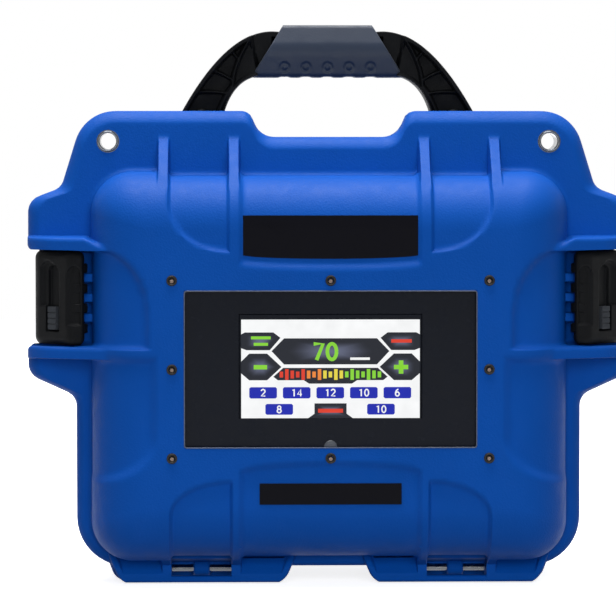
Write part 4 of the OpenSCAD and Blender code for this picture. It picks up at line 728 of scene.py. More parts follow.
@dataclass
class Ring:
    """Columns that run outward across the outline of the body, all the way round it.

    A column has a point on an inner rectangle, one on the body's outline, the outward direction there
    and the distance on to the flange's edge. Its place at an inset is the straight line from the inner
    point to the outline, and beyond the outline the line along the outward direction.
    """

    margin: float
    step: float
    corner_steps: int
    flange: Array
    x_edges: Sequence[float]
    z_edges: Sequence[float]
    soft: float = 1.2

    def __post_init__(self) -> None:
        """Works out the columns of the right half and mirrors them to the left."""
        c, m, r = CASE, self.margin, CASE.corner_r
        xs, zs = c.half_w - m, c.half_h - m
        self.xs = refined(xs, self.step, self.x_edges, self.soft)
        self.zs = refined(zs, self.step, [z - c.mid_z for z in self.z_edges], self.soft)
        top_x = np.concatenate([[0.0], self.xs[self.xs > TINY]])
        if 0.0 not in self.xs:
            self.xs = np.unique(np.concatenate([-top_x, top_x]))
        w = np.linspace(0, 1, self.corner_steps + 2)[1:-1] * (2 * (m - r) + r * np.pi / 2)
        turn = np.clip((w - (m - r)) / r, 0, np.pi / 2)
        bend = np.stack([xs + np.minimum(w, m - r) + r * np.sin(turn),
                         c.half_h - r + r * np.cos(turn) - np.maximum(w - (m - r) - r * np.pi / 2, 0)], 1)
        lean = np.stack([np.sin(turn), np.cos(turn)], 1)
        down = self.zs[::-1]
        side = np.ones_like(down)
        flat = np.ones_like(top_x)
        spot = np.broadcast_to([xs, zs], bend.shape)
        low = np.array([1, -1])
        back = top_x[::-1]
        inner = [np.stack([top_x, flat * zs], 1), spot, np.stack([side * xs, down], 1), spot * low,
                 np.stack([back, -flat * zs], 1)]
        outline = [np.stack([top_x, flat * c.half_h], 1), bend, np.stack([side * c.half_w, down], 1),
                   (bend * low)[::-1], np.stack([back, -flat * c.half_h], 1)]
        normal = [np.stack([flat * 0, flat], 1), lean, np.stack([side, side * 0], 1), (lean * low)[::-1],
                  np.stack([flat * 0, -flat], 1)]
        self.inner = self._whole(np.concatenate(inner))
        self.outline = self._whole(np.concatenate(outline))
        self.normal = self._whole(np.concatenate(normal))
        self.reach = self._reach()

    @staticmethod
    def _whole(half: Array) -> Array:
        """Adds the mirrored left half to points of the right one, which run from top to bottom."""
        return np.concatenate([half, (half * [-1, 1])[-2:0:-1]])

    def _reach(self) -> Array:
        """Measures each column to the flange's edge, as the nearest crossing of its ray with the outline.

        Returns:
            The distances in millimetres.
        """
        a = self.flange - [0, CASE.mid_z]
        b = np.roll(a, -1, 0) - a
        o, n = self.outline[:, None], self.normal[:, None]
        cross = n[..., 0] * b[None, :, 1] - n[..., 1] * b[None, :, 0]
        least = 1e-9
        cross = np.where(np.abs(cross) < least, least, cross)
        gap = a[None] - o
        along = (gap[..., 0] * b[None, :, 1] - gap[..., 1] * b[None, :, 0]) / cross
        share = (gap[..., 0] * n[..., 1] - gap[..., 1] * n[..., 0]) / cross
        hit = (along > 0) & (share >= -TINY) & (share <= 1 + TINY)
        return np.where(hit, along, np.inf).min(1)

    def at(self, inset: Array) -> Array:
        """Places of the columns at an inset.

        Args:
            inset: Distances inside the outline, negative outside it, shape (rows, columns).

        Returns:
            Points in X and Z about the middle of the body, shape (rows, columns, 2).
        """
        share = 1 - np.maximum(inset, 0) / self.margin
        inside = self.inner + share[..., None] * (self.outline - self.inner)
        return inside + np.maximum(-inset, 0)[..., None] * self.normal


Mask = Callable[[Array, Array], Array]


def no_scoops(x: Array, z: Array) -> Array:
    """A half without scoops.

    Args:
        x: Places across.
        z: Heights.

    Returns:
        Zeros.
    """
    return np.zeros(np.broadcast(x, z).shape)


@dataclass(frozen=True)
class LidScoops:
    """The lid's scoops: by the handle, by the hinges, the two label zones, by the latches and below them.

    Each scoop is bounded by straight sides and one elliptic arc, given by the height of its middle and its
    half-axes, and some by a straight end. The label zones are given by a height and a bow.
    """

    handle: Pair = (202.6, 25.5)
    hinge: Pair = (38.5, 18.0)
    upper: Pair = (169.0, 2.6)
    lower: Pair = (66.0, 5.0)
    latch: Triple = (142.0, 30.0, 36.0)
    latch_end: float = 178.0
    side: Triple = (80.0, 33.0, 22.5)
    side_end: float = 57.5
    soft_edges: tuple[float, ...] = (2.6, 2.4, 4.0, 4.6, 2.8, 5.5)
    depth_shares: tuple[float, ...] = (1.0, 1.15, 1.0, 1.1, 1.7, 1.3)

    @staticmethod
    def _in_ellipse(across: Array, along: Array, half_x: float, half_z: float) -> Array:
        """Signed distance into an ellipse: the shortfall of its radius from 1, times its mean half-axis."""
        radius = np.sqrt((across / half_x) ** 2 + (np.maximum(along, 0) / half_z) ** 2)
        return (1 - radius) * (half_x + half_z) / 2

    def share(self, x: Array, z: Array) -> Array:
        """How deep a place lies in one of the scoops, as a share of the plain depth.

        Args:
            x: Places across.
            z: Heights.

        Returns:
            The eased shares.
        """
        c, a = CASE, np.abs(x)
        in_x, out_x, zone = c.rib_in_x + c.rib_t / 2, c.rib_out_x - c.rib_t / 2, c.rib_in_x - c.rib_t / 2
        first, last = c.gusset_in_x + c.gusset_t / 2, c.gusset_out_x - c.gusset_t / 2
        (handle_z, handle_h), (hinge_z, hinge_h) = self.handle, self.hinge
        (latch_z, *latch_axes), (side_z, *side_axes) = self.latch, self.side
        handle = self._in_ellipse(a - first, handle_z - z, last - first, handle_h)
        hinge = self._in_ellipse(a - in_x, z - hinge_z, out_x - in_x, hinge_h)
        bow = 1 - np.sqrt(np.clip(1 - (a / zone) ** 2, 0, 1))
        latch = self._in_ellipse(a - c.half_w, z - latch_z, *latch_axes)
        side = self._in_ellipse(a - c.half_w, side_z - z, *side_axes)
        beyond = a > c.half_w
        distances = (
            np.minimum(np.minimum(a - first, last - a), handle),
            np.minimum(np.minimum(a - in_x, out_x - a), hinge),
            np.minimum(zone - a, z - (self.upper[0] + self.upper[1] * bow)),
            np.minimum(zone - a, (self.lower[0] - self.lower[1] * bow) - z),
            np.minimum(z - c.bay_low, np.where(beyond, self.latch_end - z, latch)),
            np.minimum(c.bay_low - c.guard_t - z, np.where(beyond, z - self.side_end, side)))
        parts = zip(distances, self.soft_edges, self.depth_shares)
        return np.max([deep * smooth_step(inside, soft) for inside, soft, deep in parts], axis=0)


@dataclass
class MouldedHalf:
    """One half of the case as a section carried round the outline of the body.

    The section starts at the flat of the face, turns over a rounding, runs down the wall, turns out of a
    fillet on to the flange and over its rolled lip to the parting line. Scoops draw the section inward,
    and ribs and guards lift it on to straight ramps.
    """

    face_y: float
    turn: int
    edge_r: float
    flange_depth: float
    part_depth: float
    margin: float
    lip_r: float
    fillet_r: float
    hole: Four
    scoops: Mask = no_scoops
    scoop_d: float = CASE.scoop_d
    cavity_in: float = 5.3
    step: float = 1.45
    corner_steps: int = 52
    lining_in: float = 0.3
    bay_grow: float = 0.0
    ribs: bool = False
    rib_soft: float = 1.3
    hinge_slope: float = 3.0
    part_gap: float = 0.4
    guard_from: float = 8.8
    guard_tip: float = 27.0
    guard_bend: float = 15.0
    guard_thin_in: float = 11.0
    guard_thin_w: float = 14.0
    guard_thin_share: float = 0.1
    guard_under: float = 0.6
    guard_soft: float = 1.0
    crest_r: float = 2.6
    crest_in: float = 1.4
    wall_rows: int = 4
    fillet_share: float = 0.35
    lip_share: float = 0.55
    least_lip: float = 0.5
    lip_power: float = 1.35
    side_hold: float = 0.85
    eye_r: float = 6.0
    eye_draw: float = 0.9
    screws: bool = False
    screw_hole_r: float = 1.7

    @staticmethod
    def _stacked(blocks: Sequence[Array], columns: int) -> Array:
        """Puts blocks of rows one below the other, each spread over all columns."""
        return np.concatenate([np.broadcast_to(block, (len(block), columns)) for block in blocks])

    def _edges(self) -> tuple[list[float], list[float]]:
        """Places where features start and end, for closer columns there.

        Returns:
            Places across and heights.
        """
        c, grow = CASE, self.bay_grow
        across = [-self.hole[1], self.hole[1]]
        if self.ribs:
            ends = [(x, t) for x in (c.rib_in_x, c.rib_out_x) for t in (-c.rib_t / 2, c.rib_t / 2)]
            ends += [(x, t) for x in (c.gusset_in_x, c.gusset_out_x)
                     for t in (-c.gusset_t / 2, c.gusset_t / 2)]
            across += [s * (x + t) for s in (-1, 1) for x, t in ends]
        if self.screws:
            across += [-c.screw_x, 0.0, c.screw_x]
        heights = [c.panel_z + s * c.screw_z for s in (-1, 0, 1)] if self.screws else []
        low, high = c.bay_low - grow, c.bay_high + grow
        heights += [self.hole[2], self.hole[3], low, low - c.guard_t, high, high + c.guard_t,
                    high + c.guard_t - self.crest_in, low - self.crest_in]
        return across, heights

    def outer(self) -> Surface:
        """The outer skin: the section carried round the outline, and the face inside it.

        Returns:
            The skin.
        """
        across, heights = self._edges()
        flange = FlangeOutline().points(self.bay_grow)
        ring = Ring(self.margin, self.step, self.corner_steps, flange, across, heights)
        r, s, columns = self.edge_r, self.scoop_d, len(ring.reach)
        flat = np.linspace(self.margin, r, 4)[:-1, None] if self.margin > r else np.zeros((0, 1))
        phi = np.linspace(0, np.pi / 2, 20)[:, None]
        plain = self._stacked([flat, r - r * np.sin(phi)], columns)
        spot = ring.at(plain)
        m = self.scoops(spot[..., 0], spot[..., 1] + CASE.mid_z)
        turn = np.concatenate([0 * flat, phi])
        hold = np.where(np.abs(ring.normal[:, 0]) > SIDEWAYS, 1 - self.side_hold * np.sin(turn), 1.0)
        inset = np.where(plain > r, plain, r - (r - s * m * hold) * np.sin(turn))
        depth = r - (r - s * m) * np.cos(turn)
        edge = inset[-1:]
        fillet = np.minimum(self.fillet_r, self.fillet_share * ring.reach)[None]
        lip = np.clip(self.lip_share * ring.reach, self.least_lip, self.lip_r)[None]
        wall = np.linspace(0, 1, self.wall_rows + 1)[1:, None]
        alpha = np.linspace(0, np.pi / 2, 9)[1:, None]
        out = np.linspace(0, 1, 19)[1:, None]
        drop = np.array([[0.5], [1.0]])
        floor, power = self.flange_depth, self.lip_power
        insets = [inset, edge + 0 * wall, edge - fillet * (1 - np.cos(alpha)),
                  (edge - fillet) * (1 - out) - (ring.reach - lip) * out,
                  -(ring.reach - lip + lip * np.sin(alpha) ** power), -ring.reach + 0 * drop]
        depths = [depth, r + (floor - fillet - r) * wall, floor - fillet + fillet * np.sin(alpha),
                  floor + 0 * (out * fillet), floor + lip * (1 - np.cos(alpha) ** power),
                  floor + lip + (self.part_depth - floor - lip) * drop]
        inset, depth = self._stacked(insets, columns), self._stacked(depths, columns)
        spot = self._drawn_to_eyes(ring.at(inset))
        depth = self._ramps(ring, spot, inset, depth)
        skin = grid(self._place(spot[..., 0], depth, spot[..., 1]), True, self._eyes(spot))
        whole = together([skin, self._face(ring, 0.0, self.scoops)])
        return whole if self.turn > 0 else whole.flipped()

    def inner(self) -> Surface:
        """The lining: the parting face, the inner wall and the inside of the face.

        Returns:
            The lining.
        """
        across, heights = self._edges()
        flange = FlangeOutline().points(self.bay_grow)
        ring = Ring(self.margin, step=3.0, corner_steps=20, flange=flange, x_edges=across, z_edges=heights,
                    soft=0.8)
        r, ci, columns = self.edge_r, self.cavity_in, len(ring.reach)
        out = np.linspace(0, 1, 16)[:, None]
        phi = np.linspace(np.pi / 2, 0, 9)[:, None]
        flat = np.linspace(r, self.margin, 3)[1:, None] if self.margin > r else np.zeros((0, 1))
        drop = np.array([[0.4], [1.0]])
        insets = [-(ring.reach - self.lining_in) * (1 - out) + ci * out, ci + 0 * drop,
                  r - (r - ci) * np.sin(phi), flat]
        depths = [self.part_depth + 0 * out, self.part_depth + (r - self.part_depth) * drop,
                  r - (r - ci) * np.cos(phi), ci + 0 * flat]
        inset, depth = self._stacked(insets, columns), self._stacked(depths, columns)
        spot = self._drawn_to_eyes(ring.at(inset))
        skin = grid(self._place(spot[..., 0], depth, spot[..., 1]), True, self._eyes(spot))
        whole = together([skin, self._face(ring, ci, no_scoops).flipped()])
        return whole if self.turn > 0 else whole.flipped()

    def reveal(self, radius: float) -> Surface:
        """The walls of the hole in the face: a rounded edge and a straight wall carried round the hole.

        Args:
            radius: Radius of the rounded edge.

        Returns:
            The walls.
        """
        low_x, high_x, low_z, high_z = self.hole
        path = np.array([(low_x, low_z), (high_x, low_z), (high_x, high_z), (low_x, high_z)])
        sign = np.array([(-1, -1), (1, -1), (1, 1), (-1, 1)])
        turn = np.linspace(0, np.pi / 2, 6)
        inward = np.concatenate([radius * np.sin(turn), [radius]])
        depth = np.concatenate([radius * (1 - np.cos(turn)), [self.cavity_in]])
        spot = path[None] - inward[:, None, None] * sign[None]
        x, z = spot[..., 0], spot[..., 1] - CASE.mid_z
        walls = grid(self._place(x, depth[:, None] + 0 * x, z), True)
        return walls.flipped() if self.turn > 0 else walls

    def _place(self, x: Array, depth: Array, z: Array) -> Array:
        """Turns places across, depths behind the face and heights about the middle into points."""
        return np.stack([x, self.face_y + self.turn * depth, z + CASE.mid_z], -1)

    def _eyes(self, spot: Array) -> Array:
        """Finds the quads outside the padlock holes.

        Args:
            spot: Places of the vertices, shape (rows, columns, 2).

        Returns:
            Which quads to keep.
        """
        after = np.roll(spot, -1, 1)
        mid = (spot[:-1] + spot[1:] + after[:-1] + after[1:]) / 4
        far = np.hypot(np.abs(mid[..., 0]) - CASE.eye_x, mid[..., 1] + CASE.mid_z - CASE.eye_z)
        return far > self.eye_r

    def _drawn_to_eyes(self, spot: Array) -> Array:
        """Moves the vertices next to a padlock hole straight out or in to the hole's circle.

        Args:
            spot: Places of the vertices, with a last axis of two.

        Returns:
            The places with round holes.
        """
        side = np.where(spot[..., 0] < 0, -1, 1)
        away = spot - np.stack([side * CASE.eye_x, 0 * side + CASE.eye_z - CASE.mid_z], -1)
        far = np.maximum(np.linalg.norm(away, axis=-1, keepdims=True), TINY)
        return np.where(far < self.eye_r + self.eye_draw, spot + away * (self.eye_r / far - 1), spot)

    def _ramps(self, ring: Ring, spot: Array, inset: Array, depth: Array) -> Array:
        """Lifts the section on to the gusset ribs and the latch guards.

        A rib's depth is a straight line in the distance outward, and a guard's too, with an elliptic end and
        an upper edge rounded as a quarter circle. Between the hinge arms the flange slopes back.

        Args:
            ring: The columns.
            spot: Places of the vertices.
            inset: Their insets.
            depth: Their depths.

        Returns:
            The depths with the ramps.
        """
        c, e, floor = CASE, -inset, self.flange_depth
        a, z = np.abs(spot[..., 0]), spot[..., 1] + c.mid_z
        if self.ribs:
            bite = self.edge_r * (1 - math.sqrt(0.5))
            slope = (floor - bite) / (c.notch_z - c.top_z + bite)
            ramp = np.where(e > -bite, np.minimum(depth, bite + (e + bite) * slope), depth)
            across = np.minimum(np.abs(a - c.gusset_in_x), np.abs(a - c.gusset_out_x))
            share = smooth_step(c.gusset_t / 2 - across, self.rib_soft) * (ring.normal[:, 1] > STRAIGHT)
            depth = depth + share * (ramp - depth)
            gap = np.minimum(a - c.rib_in_x, c.rib_out_x - a) > c.rib_t / 2
            back = floor + (self.part_depth - self.part_gap - floor) * np.clip(e / self.hinge_slope, 0, 1)
            between = gap & (e > 0) & (ring.normal[:, 1] < -STRAIGHT)
            depth = np.where(between, np.maximum(depth, back), depth)
        start, reach = (-self.guard_from if self.turn > 0 else 0.0), c.guard_x - c.half_w
        line = self.guard_from + (self.guard_tip - self.guard_from) * (e - start) / (reach - start)
        over = np.clip((e - reach + self.guard_bend) / self.guard_bend, 0, 1)
        ramp = np.minimum(depth, line + (floor - line) * (1 - np.sqrt(1 - over ** 2)))
        ramp = np.where(e > start, ramp, depth) if self.turn > 0 else ramp
        thin = self.guard_thin_share
        swell = np.clip((a - c.half_w + self.guard_thin_in) / self.guard_thin_w, 0, 1)
        thick = c.guard_t * (thin + (1 - thin) * swell)
        up, low = z - (c.bay_high + self.bay_grow), c.bay_low - self.bay_grow - z
        high = up > (c.bay_low - c.bay_high) / 2
        ramp = np.minimum(depth, ramp + rolled(np.where(high, thick - up, low), self.crest_r))
        under = self.guard_under
        inside = np.where(high, np.minimum(up + under, thick - up), np.minimum(low + under, c.guard_t - low))
        share = smooth_step(inside, self.guard_soft) * (np.abs(ring.normal[:, 0]) > STRAIGHT)
        return depth + share * (ramp - depth)

    def _face(self, ring: Ring, depth: float, scoops: Mask) -> Surface:
        """The flat of the face inside the ring, on the ring's own lines, without the hole.

        Args:
            ring: The columns.
            depth: Depth of the flat.
            scoops: Mask of the scoops.

        Returns:
            The flat.
        """
        low_x, high_x, low_z, high_z = self.hole
        xs = np.unique(np.round(np.concatenate([ring.xs, [low_x, high_x]]), 4))
        zs = np.unique(np.round(np.concatenate([ring.zs, [low_z - CASE.mid_z, high_z - CASE.mid_z]]), 4))
        z, x = np.meshgrid(zs, xs, indexing="ij")
        level = depth + self.scoop_d * scoops(x, z + CASE.mid_z)
        mid_x = (x[:-1, :-1] + x[1:, 1:]) / 2
        mid_z = (z[:-1, :-1] + z[1:, 1:]) / 2 + CASE.mid_z
        keep = ~((mid_x > low_x) & (mid_x < high_x) & (mid_z > low_z) & (mid_z < high_z))
        if self.screws:
            rise = np.abs(mid_z - CASE.panel_z)
            across = np.minimum(np.abs(mid_x), np.abs(np.abs(mid_x) - CASE.screw_x))
            up = np.minimum(rise, np.abs(rise - CASE.screw_z))
            keep &= np.hypot(across, up) > self.screw_hole_r
        return grid(self._place(x, level, z), False, keep)


@dataclass
class Lid:
    """The lid: its moulded skin, lining, hinge arms, hinge toes and latch lugs."""

    edge: float = 0.7
    arm_knob_r: float = 5.9
    arm_bite: float = 8.8
    arm_back: float = 0.2
    arm_bevel: float = 0.9
    toe_in_x: float = 24.0
    toe_out_x: float = 110.0
    toe_low: float = 0.9
    toe_high: float = 18.0
    toe_out: float = 6.0
    toe_corner_r: float = 6.0
    toe_lean: float = 8.0
    toe_wall: float = 4.4
    toe_wall_soft: float = 1.6
    toe_arm_soft: float = 0.9
    toe_ramp_top: float = 13.0
    toe_ramp_h: float = 7.5
    toe_taper_h: float = 9.0
    toe_roll_r: float = 1.6
    toe_sunk: float = 0.4
    toe_back: float = 4.0
    bar_high: float = 4.4
    bar_out: float = 5.6
    bar_r: float = 1.4
    bar_back_r: float = 0.4
    lug_r: float = 2.5
    lug_web: float = 5.2
    lug_in: float = 4.0
    lug_back: float = 0.5
    lug_bevel: float = 0.8

    def half(self) -> MouldedHalf:
        """The section and hole of the lid.

        Returns:
            The moulded half.
        """
        c = CASE
        w, h = c.window_w / 2 + self.edge, c.window_h / 2 + self.edge
        return MouldedHalf(face_y=c.face_y, turn=1, edge_r=c.face_r, flange_depth=c.lid_flange_y - c.face_y,
                           part_depth=48.7, margin=c.face_r, lip_r=6.6, fillet_r=3.0,
                           hole=(-w, w, c.panel_z - h, c.panel_z + h), scoops=LidScoops().share, ribs=True,
                           screws=True)

    def build(self) -> None:
        """Builds the lid's pieces."""
        c, half = CASE, self.half()
        skin = together([half.outer(), half.reveal(self.edge)])
        build("lid_skin", skin, CASE_BLUE, Body.LID, ("lid_shell", "lid_shoulders"),
              sharp_deg=60)
        build("lid_lining", half.inner(), CASE_BLUE, Body.LID)
        arms = [self._arm(s * x) for s in (-1, 1) for x in (c.rib_in_x, c.rib_out_x)]
        build("hinge_arms", together(arms), CASE_BLUE, Body.LID, bevel_mm=self.arm_bevel,
              outward=True)
        build("hinge_toes", self._toes(), CASE_BLUE, Body.LID, sharp_deg=45)
        lugs = [self._lug(s, c.latch_z + i * c.lug_pitch) for s in (-1, 1) for i in (-1, 0, 1)]
        build("latch_lugs", together(lugs), CASE_BLUE, Body.LID, bevel_mm=self.lug_bevel,
              outward=True)

    def _arm(self, x: float) -> Surface:
        """One hinge arm: a side outline with a round end on the hinge axis, carried across its thickness.

        Args:
            x: Place of its middle.

        Returns:
            The closed surface.
        """
        c, r, bite = CASE, self.arm_knob_r, self.arm_bite
        tip_y, tip_z = c.face_y + bite, c.low_z + bite
        turn = np.linspace(np.pi / 2, -np.pi / 2, 16)
        knob = np.stack([c.part_y + r * np.cos(turn), c.hinge_z + r * np.sin(turn)], 1)
        rest = [(tip_y, tip_z), (tip_y + bite, tip_z + bite), (c.part_y - self.arm_back, tip_z + bite)]
        return prism(np.concatenate([knob, rest]), x - c.rib_t / 2, x + c.rib_t / 2, 0)

    def _toes(self) -> Surface:
        """The toes on both sides of each hinge, and the bar below it that joins them.

        Returns:
            The surfaces of both hinges.
        """
        c, half_t = CASE, CASE.rib_t / 2
        toes = [self._toe(self.toe_in_x, c.rib_in_x + half_t, 1, -1),
                self._toe(c.rib_out_x - half_t, self.toe_out_x, -1, 1)]
        back, front = c.lid_flange_y, c.lid_flange_y - self.bar_out
        bar = [(back, self.toe_low, self.bar_back_r), (back, self.bar_high, self.bar_back_r),
               (front, self.bar_high, self.bar_r), (front, self.toe_low, self.bar_r)]
        toes += [prism(rounded_outline(bar, 6), c.rib_in_x, c.rib_out_x, 0).flipped()]
        return together(toes).paired()

    def _toe(self, low_x: float, high_x: float, end: int, lean: int) -> Surface:
        """One toe beside a hinge: depths in front of the flange on a grid across and up.

        The lower lip and the arm's end stand full out, the panel above the lip slopes back to the flange,
        and a wall at the free end leans outward as it rises and tapers away.

        Args:
            low_x: Inner end at the ground.
            high_x: Outer end at the ground.
            end: Which end is free: 1 for the inner one, -1 for the outer one.
            lean: Which way the free end leans as it rises.

        Returns:
            The surface, with its border turned back to the flange.
        """
        c, top = CASE, self.toe_high
        z, s = np.meshgrid(np.linspace(self.toe_low, top, 48), np.linspace(0, 1, 60), indexing="ij")
        shift = lean * (self.toe_lean * z / top - rolled(z, self.toe_corner_r))
        first = low_x + (shift if end > 0 else 0 * z)
        last = high_x + (shift if end < 0 else 0 * z)
        x = first + (last - first) * s
        free = (x - first) if end > 0 else (last - x)
        held = (high_x - x) if end > 0 else (x - low_x)
        wall = smooth_step(self.toe_wall - free, self.toe_wall_soft)
        arm = smooth_step(c.rib_t - held, self.toe_arm_soft)
        ramp = np.clip((self.toe_ramp_top - z) / self.toe_ramp_h, 0, 1)
        taper = np.clip((top - z) / self.toe_taper_h, 0, 1)
        out = self.toe_out * np.maximum(np.maximum(ramp, arm), wall * taper)
        roll = rolled(np.minimum(free, z - self.toe_low), self.toe_roll_r)
        y = c.lid_flange_y - np.maximum(out - roll, -self.toe_sunk)
        points, border = skirted(np.stack([x, y, z], -1))
        points[border, 1] = c.lid_flange_y + self.toe_back
        return grid(points)

    def _lug(self, side: int, z: float) -> Surface:
        """One latch lug: a post from the flange round the pin, with a web to the wall.

        Its outline is carried up its thickness.

        Args:
            side: Sign of its side.
            z: Height of its middle.

        Returns:
            The closed surface.
        """
        c, r, half = CASE, self.lug_r, CASE.lug_t / 2
        turn = np.linspace(-np.pi, 0, 16)
        knob = np.stack([c.pin_x + r * np.cos(turn), c.pin_y + r * np.sin(turn)], 1)
        back, web, wall = c.lid_flange_y + self.lug_back, c.pin_y + self.lug_web, c.half_w - self.lug_in
        rest = [(c.pin_x + r, back), (wall, back), (wall, web), (c.pin_x - r, web)]
        return prism(np.concatenate([knob, rest]) * [side, 1], z - half, z + half, 2)


@dataclass
class Base:
    """The base: its moulded skin, lining, feet, skids, knuckles, catches and bosses.

    Turned profiles are given as radius and place along the axis.
    """

    tub: Four = (-95.2, 95.2, 36.8, 105.2)
    tub_edge: float = 0.4
    skid_x: tuple[float, ...] = (33.0, 102.0)
    skid_half_w: float = 4.5
    skid_front: float = 1.0
    skid_back: float = 70.0
    skid_sunk: float = 1.0
    skid_bevel: float = 1.5
    catch_low: Triple = (-9.5, -25.3, 131.75)
    catch_high: Triple = (3.5, -17.6, 171.75)
    catch_bevel: float = 0.8
    knuckle_end: tuple[Pair, ...] = ((1.65, 4.25), (3.6, 4.25), (4.4, 3.5))
    boss_x: float = 101.0
    boss_z: tuple[float, ...] = (36.0, 194.0)
    boss_profile: tuple[Pair, ...] = ((2.05, 54.0), (5.0, 54.0), (5.0, 71.5))
    foot_in_x: float = 24.0
    foot_out_x: float = 113.0
    foot_h: float = 18.0
    foot_lean: float = 7.0
    foot_corner_r: float = 5.0
    foot_roll_r: float = 1.2
    foot_front: float = 0.15
    gap_wide: float = 3.4
    gap_top: float = 13.2
    gap_d: float = 6.8
    gap_soft: float = 1.0
    gap_middle: float = 5.0
    sunk_edge: float = 4.5
    sunk_in_x: float = 44.0
    sunk_out_x: float = 92.0
    sunk_low: float = 5.2
    sunk_h: float = 9.0
    sunk_slope: float = 0.8
    sunk_soft: float = 1.2

    def build(self) -> None:
        """Builds the base's pieces."""
        c = CASE
        half = MouldedHalf(face_y=c.back_y, turn=-1, edge_r=16.0, flange_depth=c.back_y - c.base_flange_y,
                           part_depth=101.3, margin=22.0, lip_r=4.0, fillet_r=3.0, hole=self.tub, step=2.0,
                           corner_steps=40, bay_grow=0.3, guard_from=65.5, guard_tip=83.4, wall_rows=14,
                           eye_r=5.2)
        skin = together([half.outer(), half.reveal(self.tub_edge)])
        build("base_skin", skin, CASE_BLUE, Body.BASE, ("base_shell", "base_shoulders"),
              sharp_deg=60)
        build("base_lining", half.inner(), CASE_BLUE, Body.BASE)
        build("hinge_feet", self._foot().paired(), CASE_BLUE, Body.BASE, sharp_deg=35)
        wide, front = self.skid_half_w, c.base_flange_y - self.skid_front
        back = c.base_flange_y + self.skid_back
        skids = [box((s * x - wide, front, 0), (s * x + wide, back, c.low_z + self.skid_sunk))
                 for s in (-1, 1) for x in self.skid_x]
        build("base_skids", together(skids), CASE_BLUE, Body.BASE, bevel_mm=self.skid_bevel,
              outward=True)
        catches = [box(np.array(self.catch_low) + [s * c.pin_x, 0, 0],
                       np.array(self.catch_high) + [s * c.pin_x, 0, 0]) for s in (-1, 1)]
        build("latch_catches", together(catches), CASE_BLUE, Body.BASE,
              bevel_mm=self.catch_bevel, outward=True)
        knob = np.array([*[(r, -x) for r, x in self.knuckle_end], *self.knuckle_end[::-1]])
        knuckles = [lathe(knob, (s * c.hinge_x, c.part_y, c.hinge_z), 0) for s in (-1, 1)]
        build("hinge_knuckles", together(knuckles), CASE_BLUE, Body.BASE, outward=True)
        bosses = [lathe(np.array(self.boss_profile), (s * self.boss_x, 0, z), 1, 24)
                  for s in (-1, 1) for z in self.boss_z]
        build("chassis_bosses", together(bosses), CASE_BLUE, Body.BASE, outward=True)

    def _foot(self) -> Surface:
        """The right hinge foot: a front with two sunk panels and a gap for the knuckle, as depths on a grid.

        The grid runs across between the leaning ends and up the foot, with rounded outer edges, and its
        border goes straight back to the flange.

        Returns:
            The surface.
        """
        c = CASE
        rows = np.concatenate([[0, 0.3, 0.8, 1.6], np.linspace(2.5, self.foot_h, 26)])
        z, s = np.meshgrid(rows, np.linspace(0, 1, 150), indexing="ij")
        wider = self.foot_lean * z / self.foot_h - rolled(z, self.foot_corner_r)
        low_x, high_x = self.foot_in_x - wider, self.foot_out_x + wider
        x = low_x + (high_x - low_x) * s
        across = np.minimum(x - (c.rib_in_x - self.gap_wide), (c.rib_out_x + self.gap_wide) - x)
        gap = np.minimum(np.minimum(across, self.gap_top - z), np.abs(x - c.hinge_x) - self.gap_middle)
        sunk = np.maximum(np.minimum(x - (low_x + self.sunk_edge), self.sunk_in_x - x),
                          np.minimum(x - self.sunk_out_x, high_x - self.sunk_edge - x))
        roll = rolled(np.minimum(np.minimum(x - low_x, high_x - x), z), self.foot_roll_r)
        slope = self.sunk_slope * np.clip(z - self.sunk_low, 0, self.sunk_h)
        front = c.part_y + self.foot_front + self.gap_d * smooth_step(gap, self.gap_soft)
        front = front + slope * smooth_step(sunk, self.sunk_soft) + roll
        points, border = skirted(np.stack([x, front, z], -1))
        points[border, 1] = c.base_flange_y
        return grid(points)


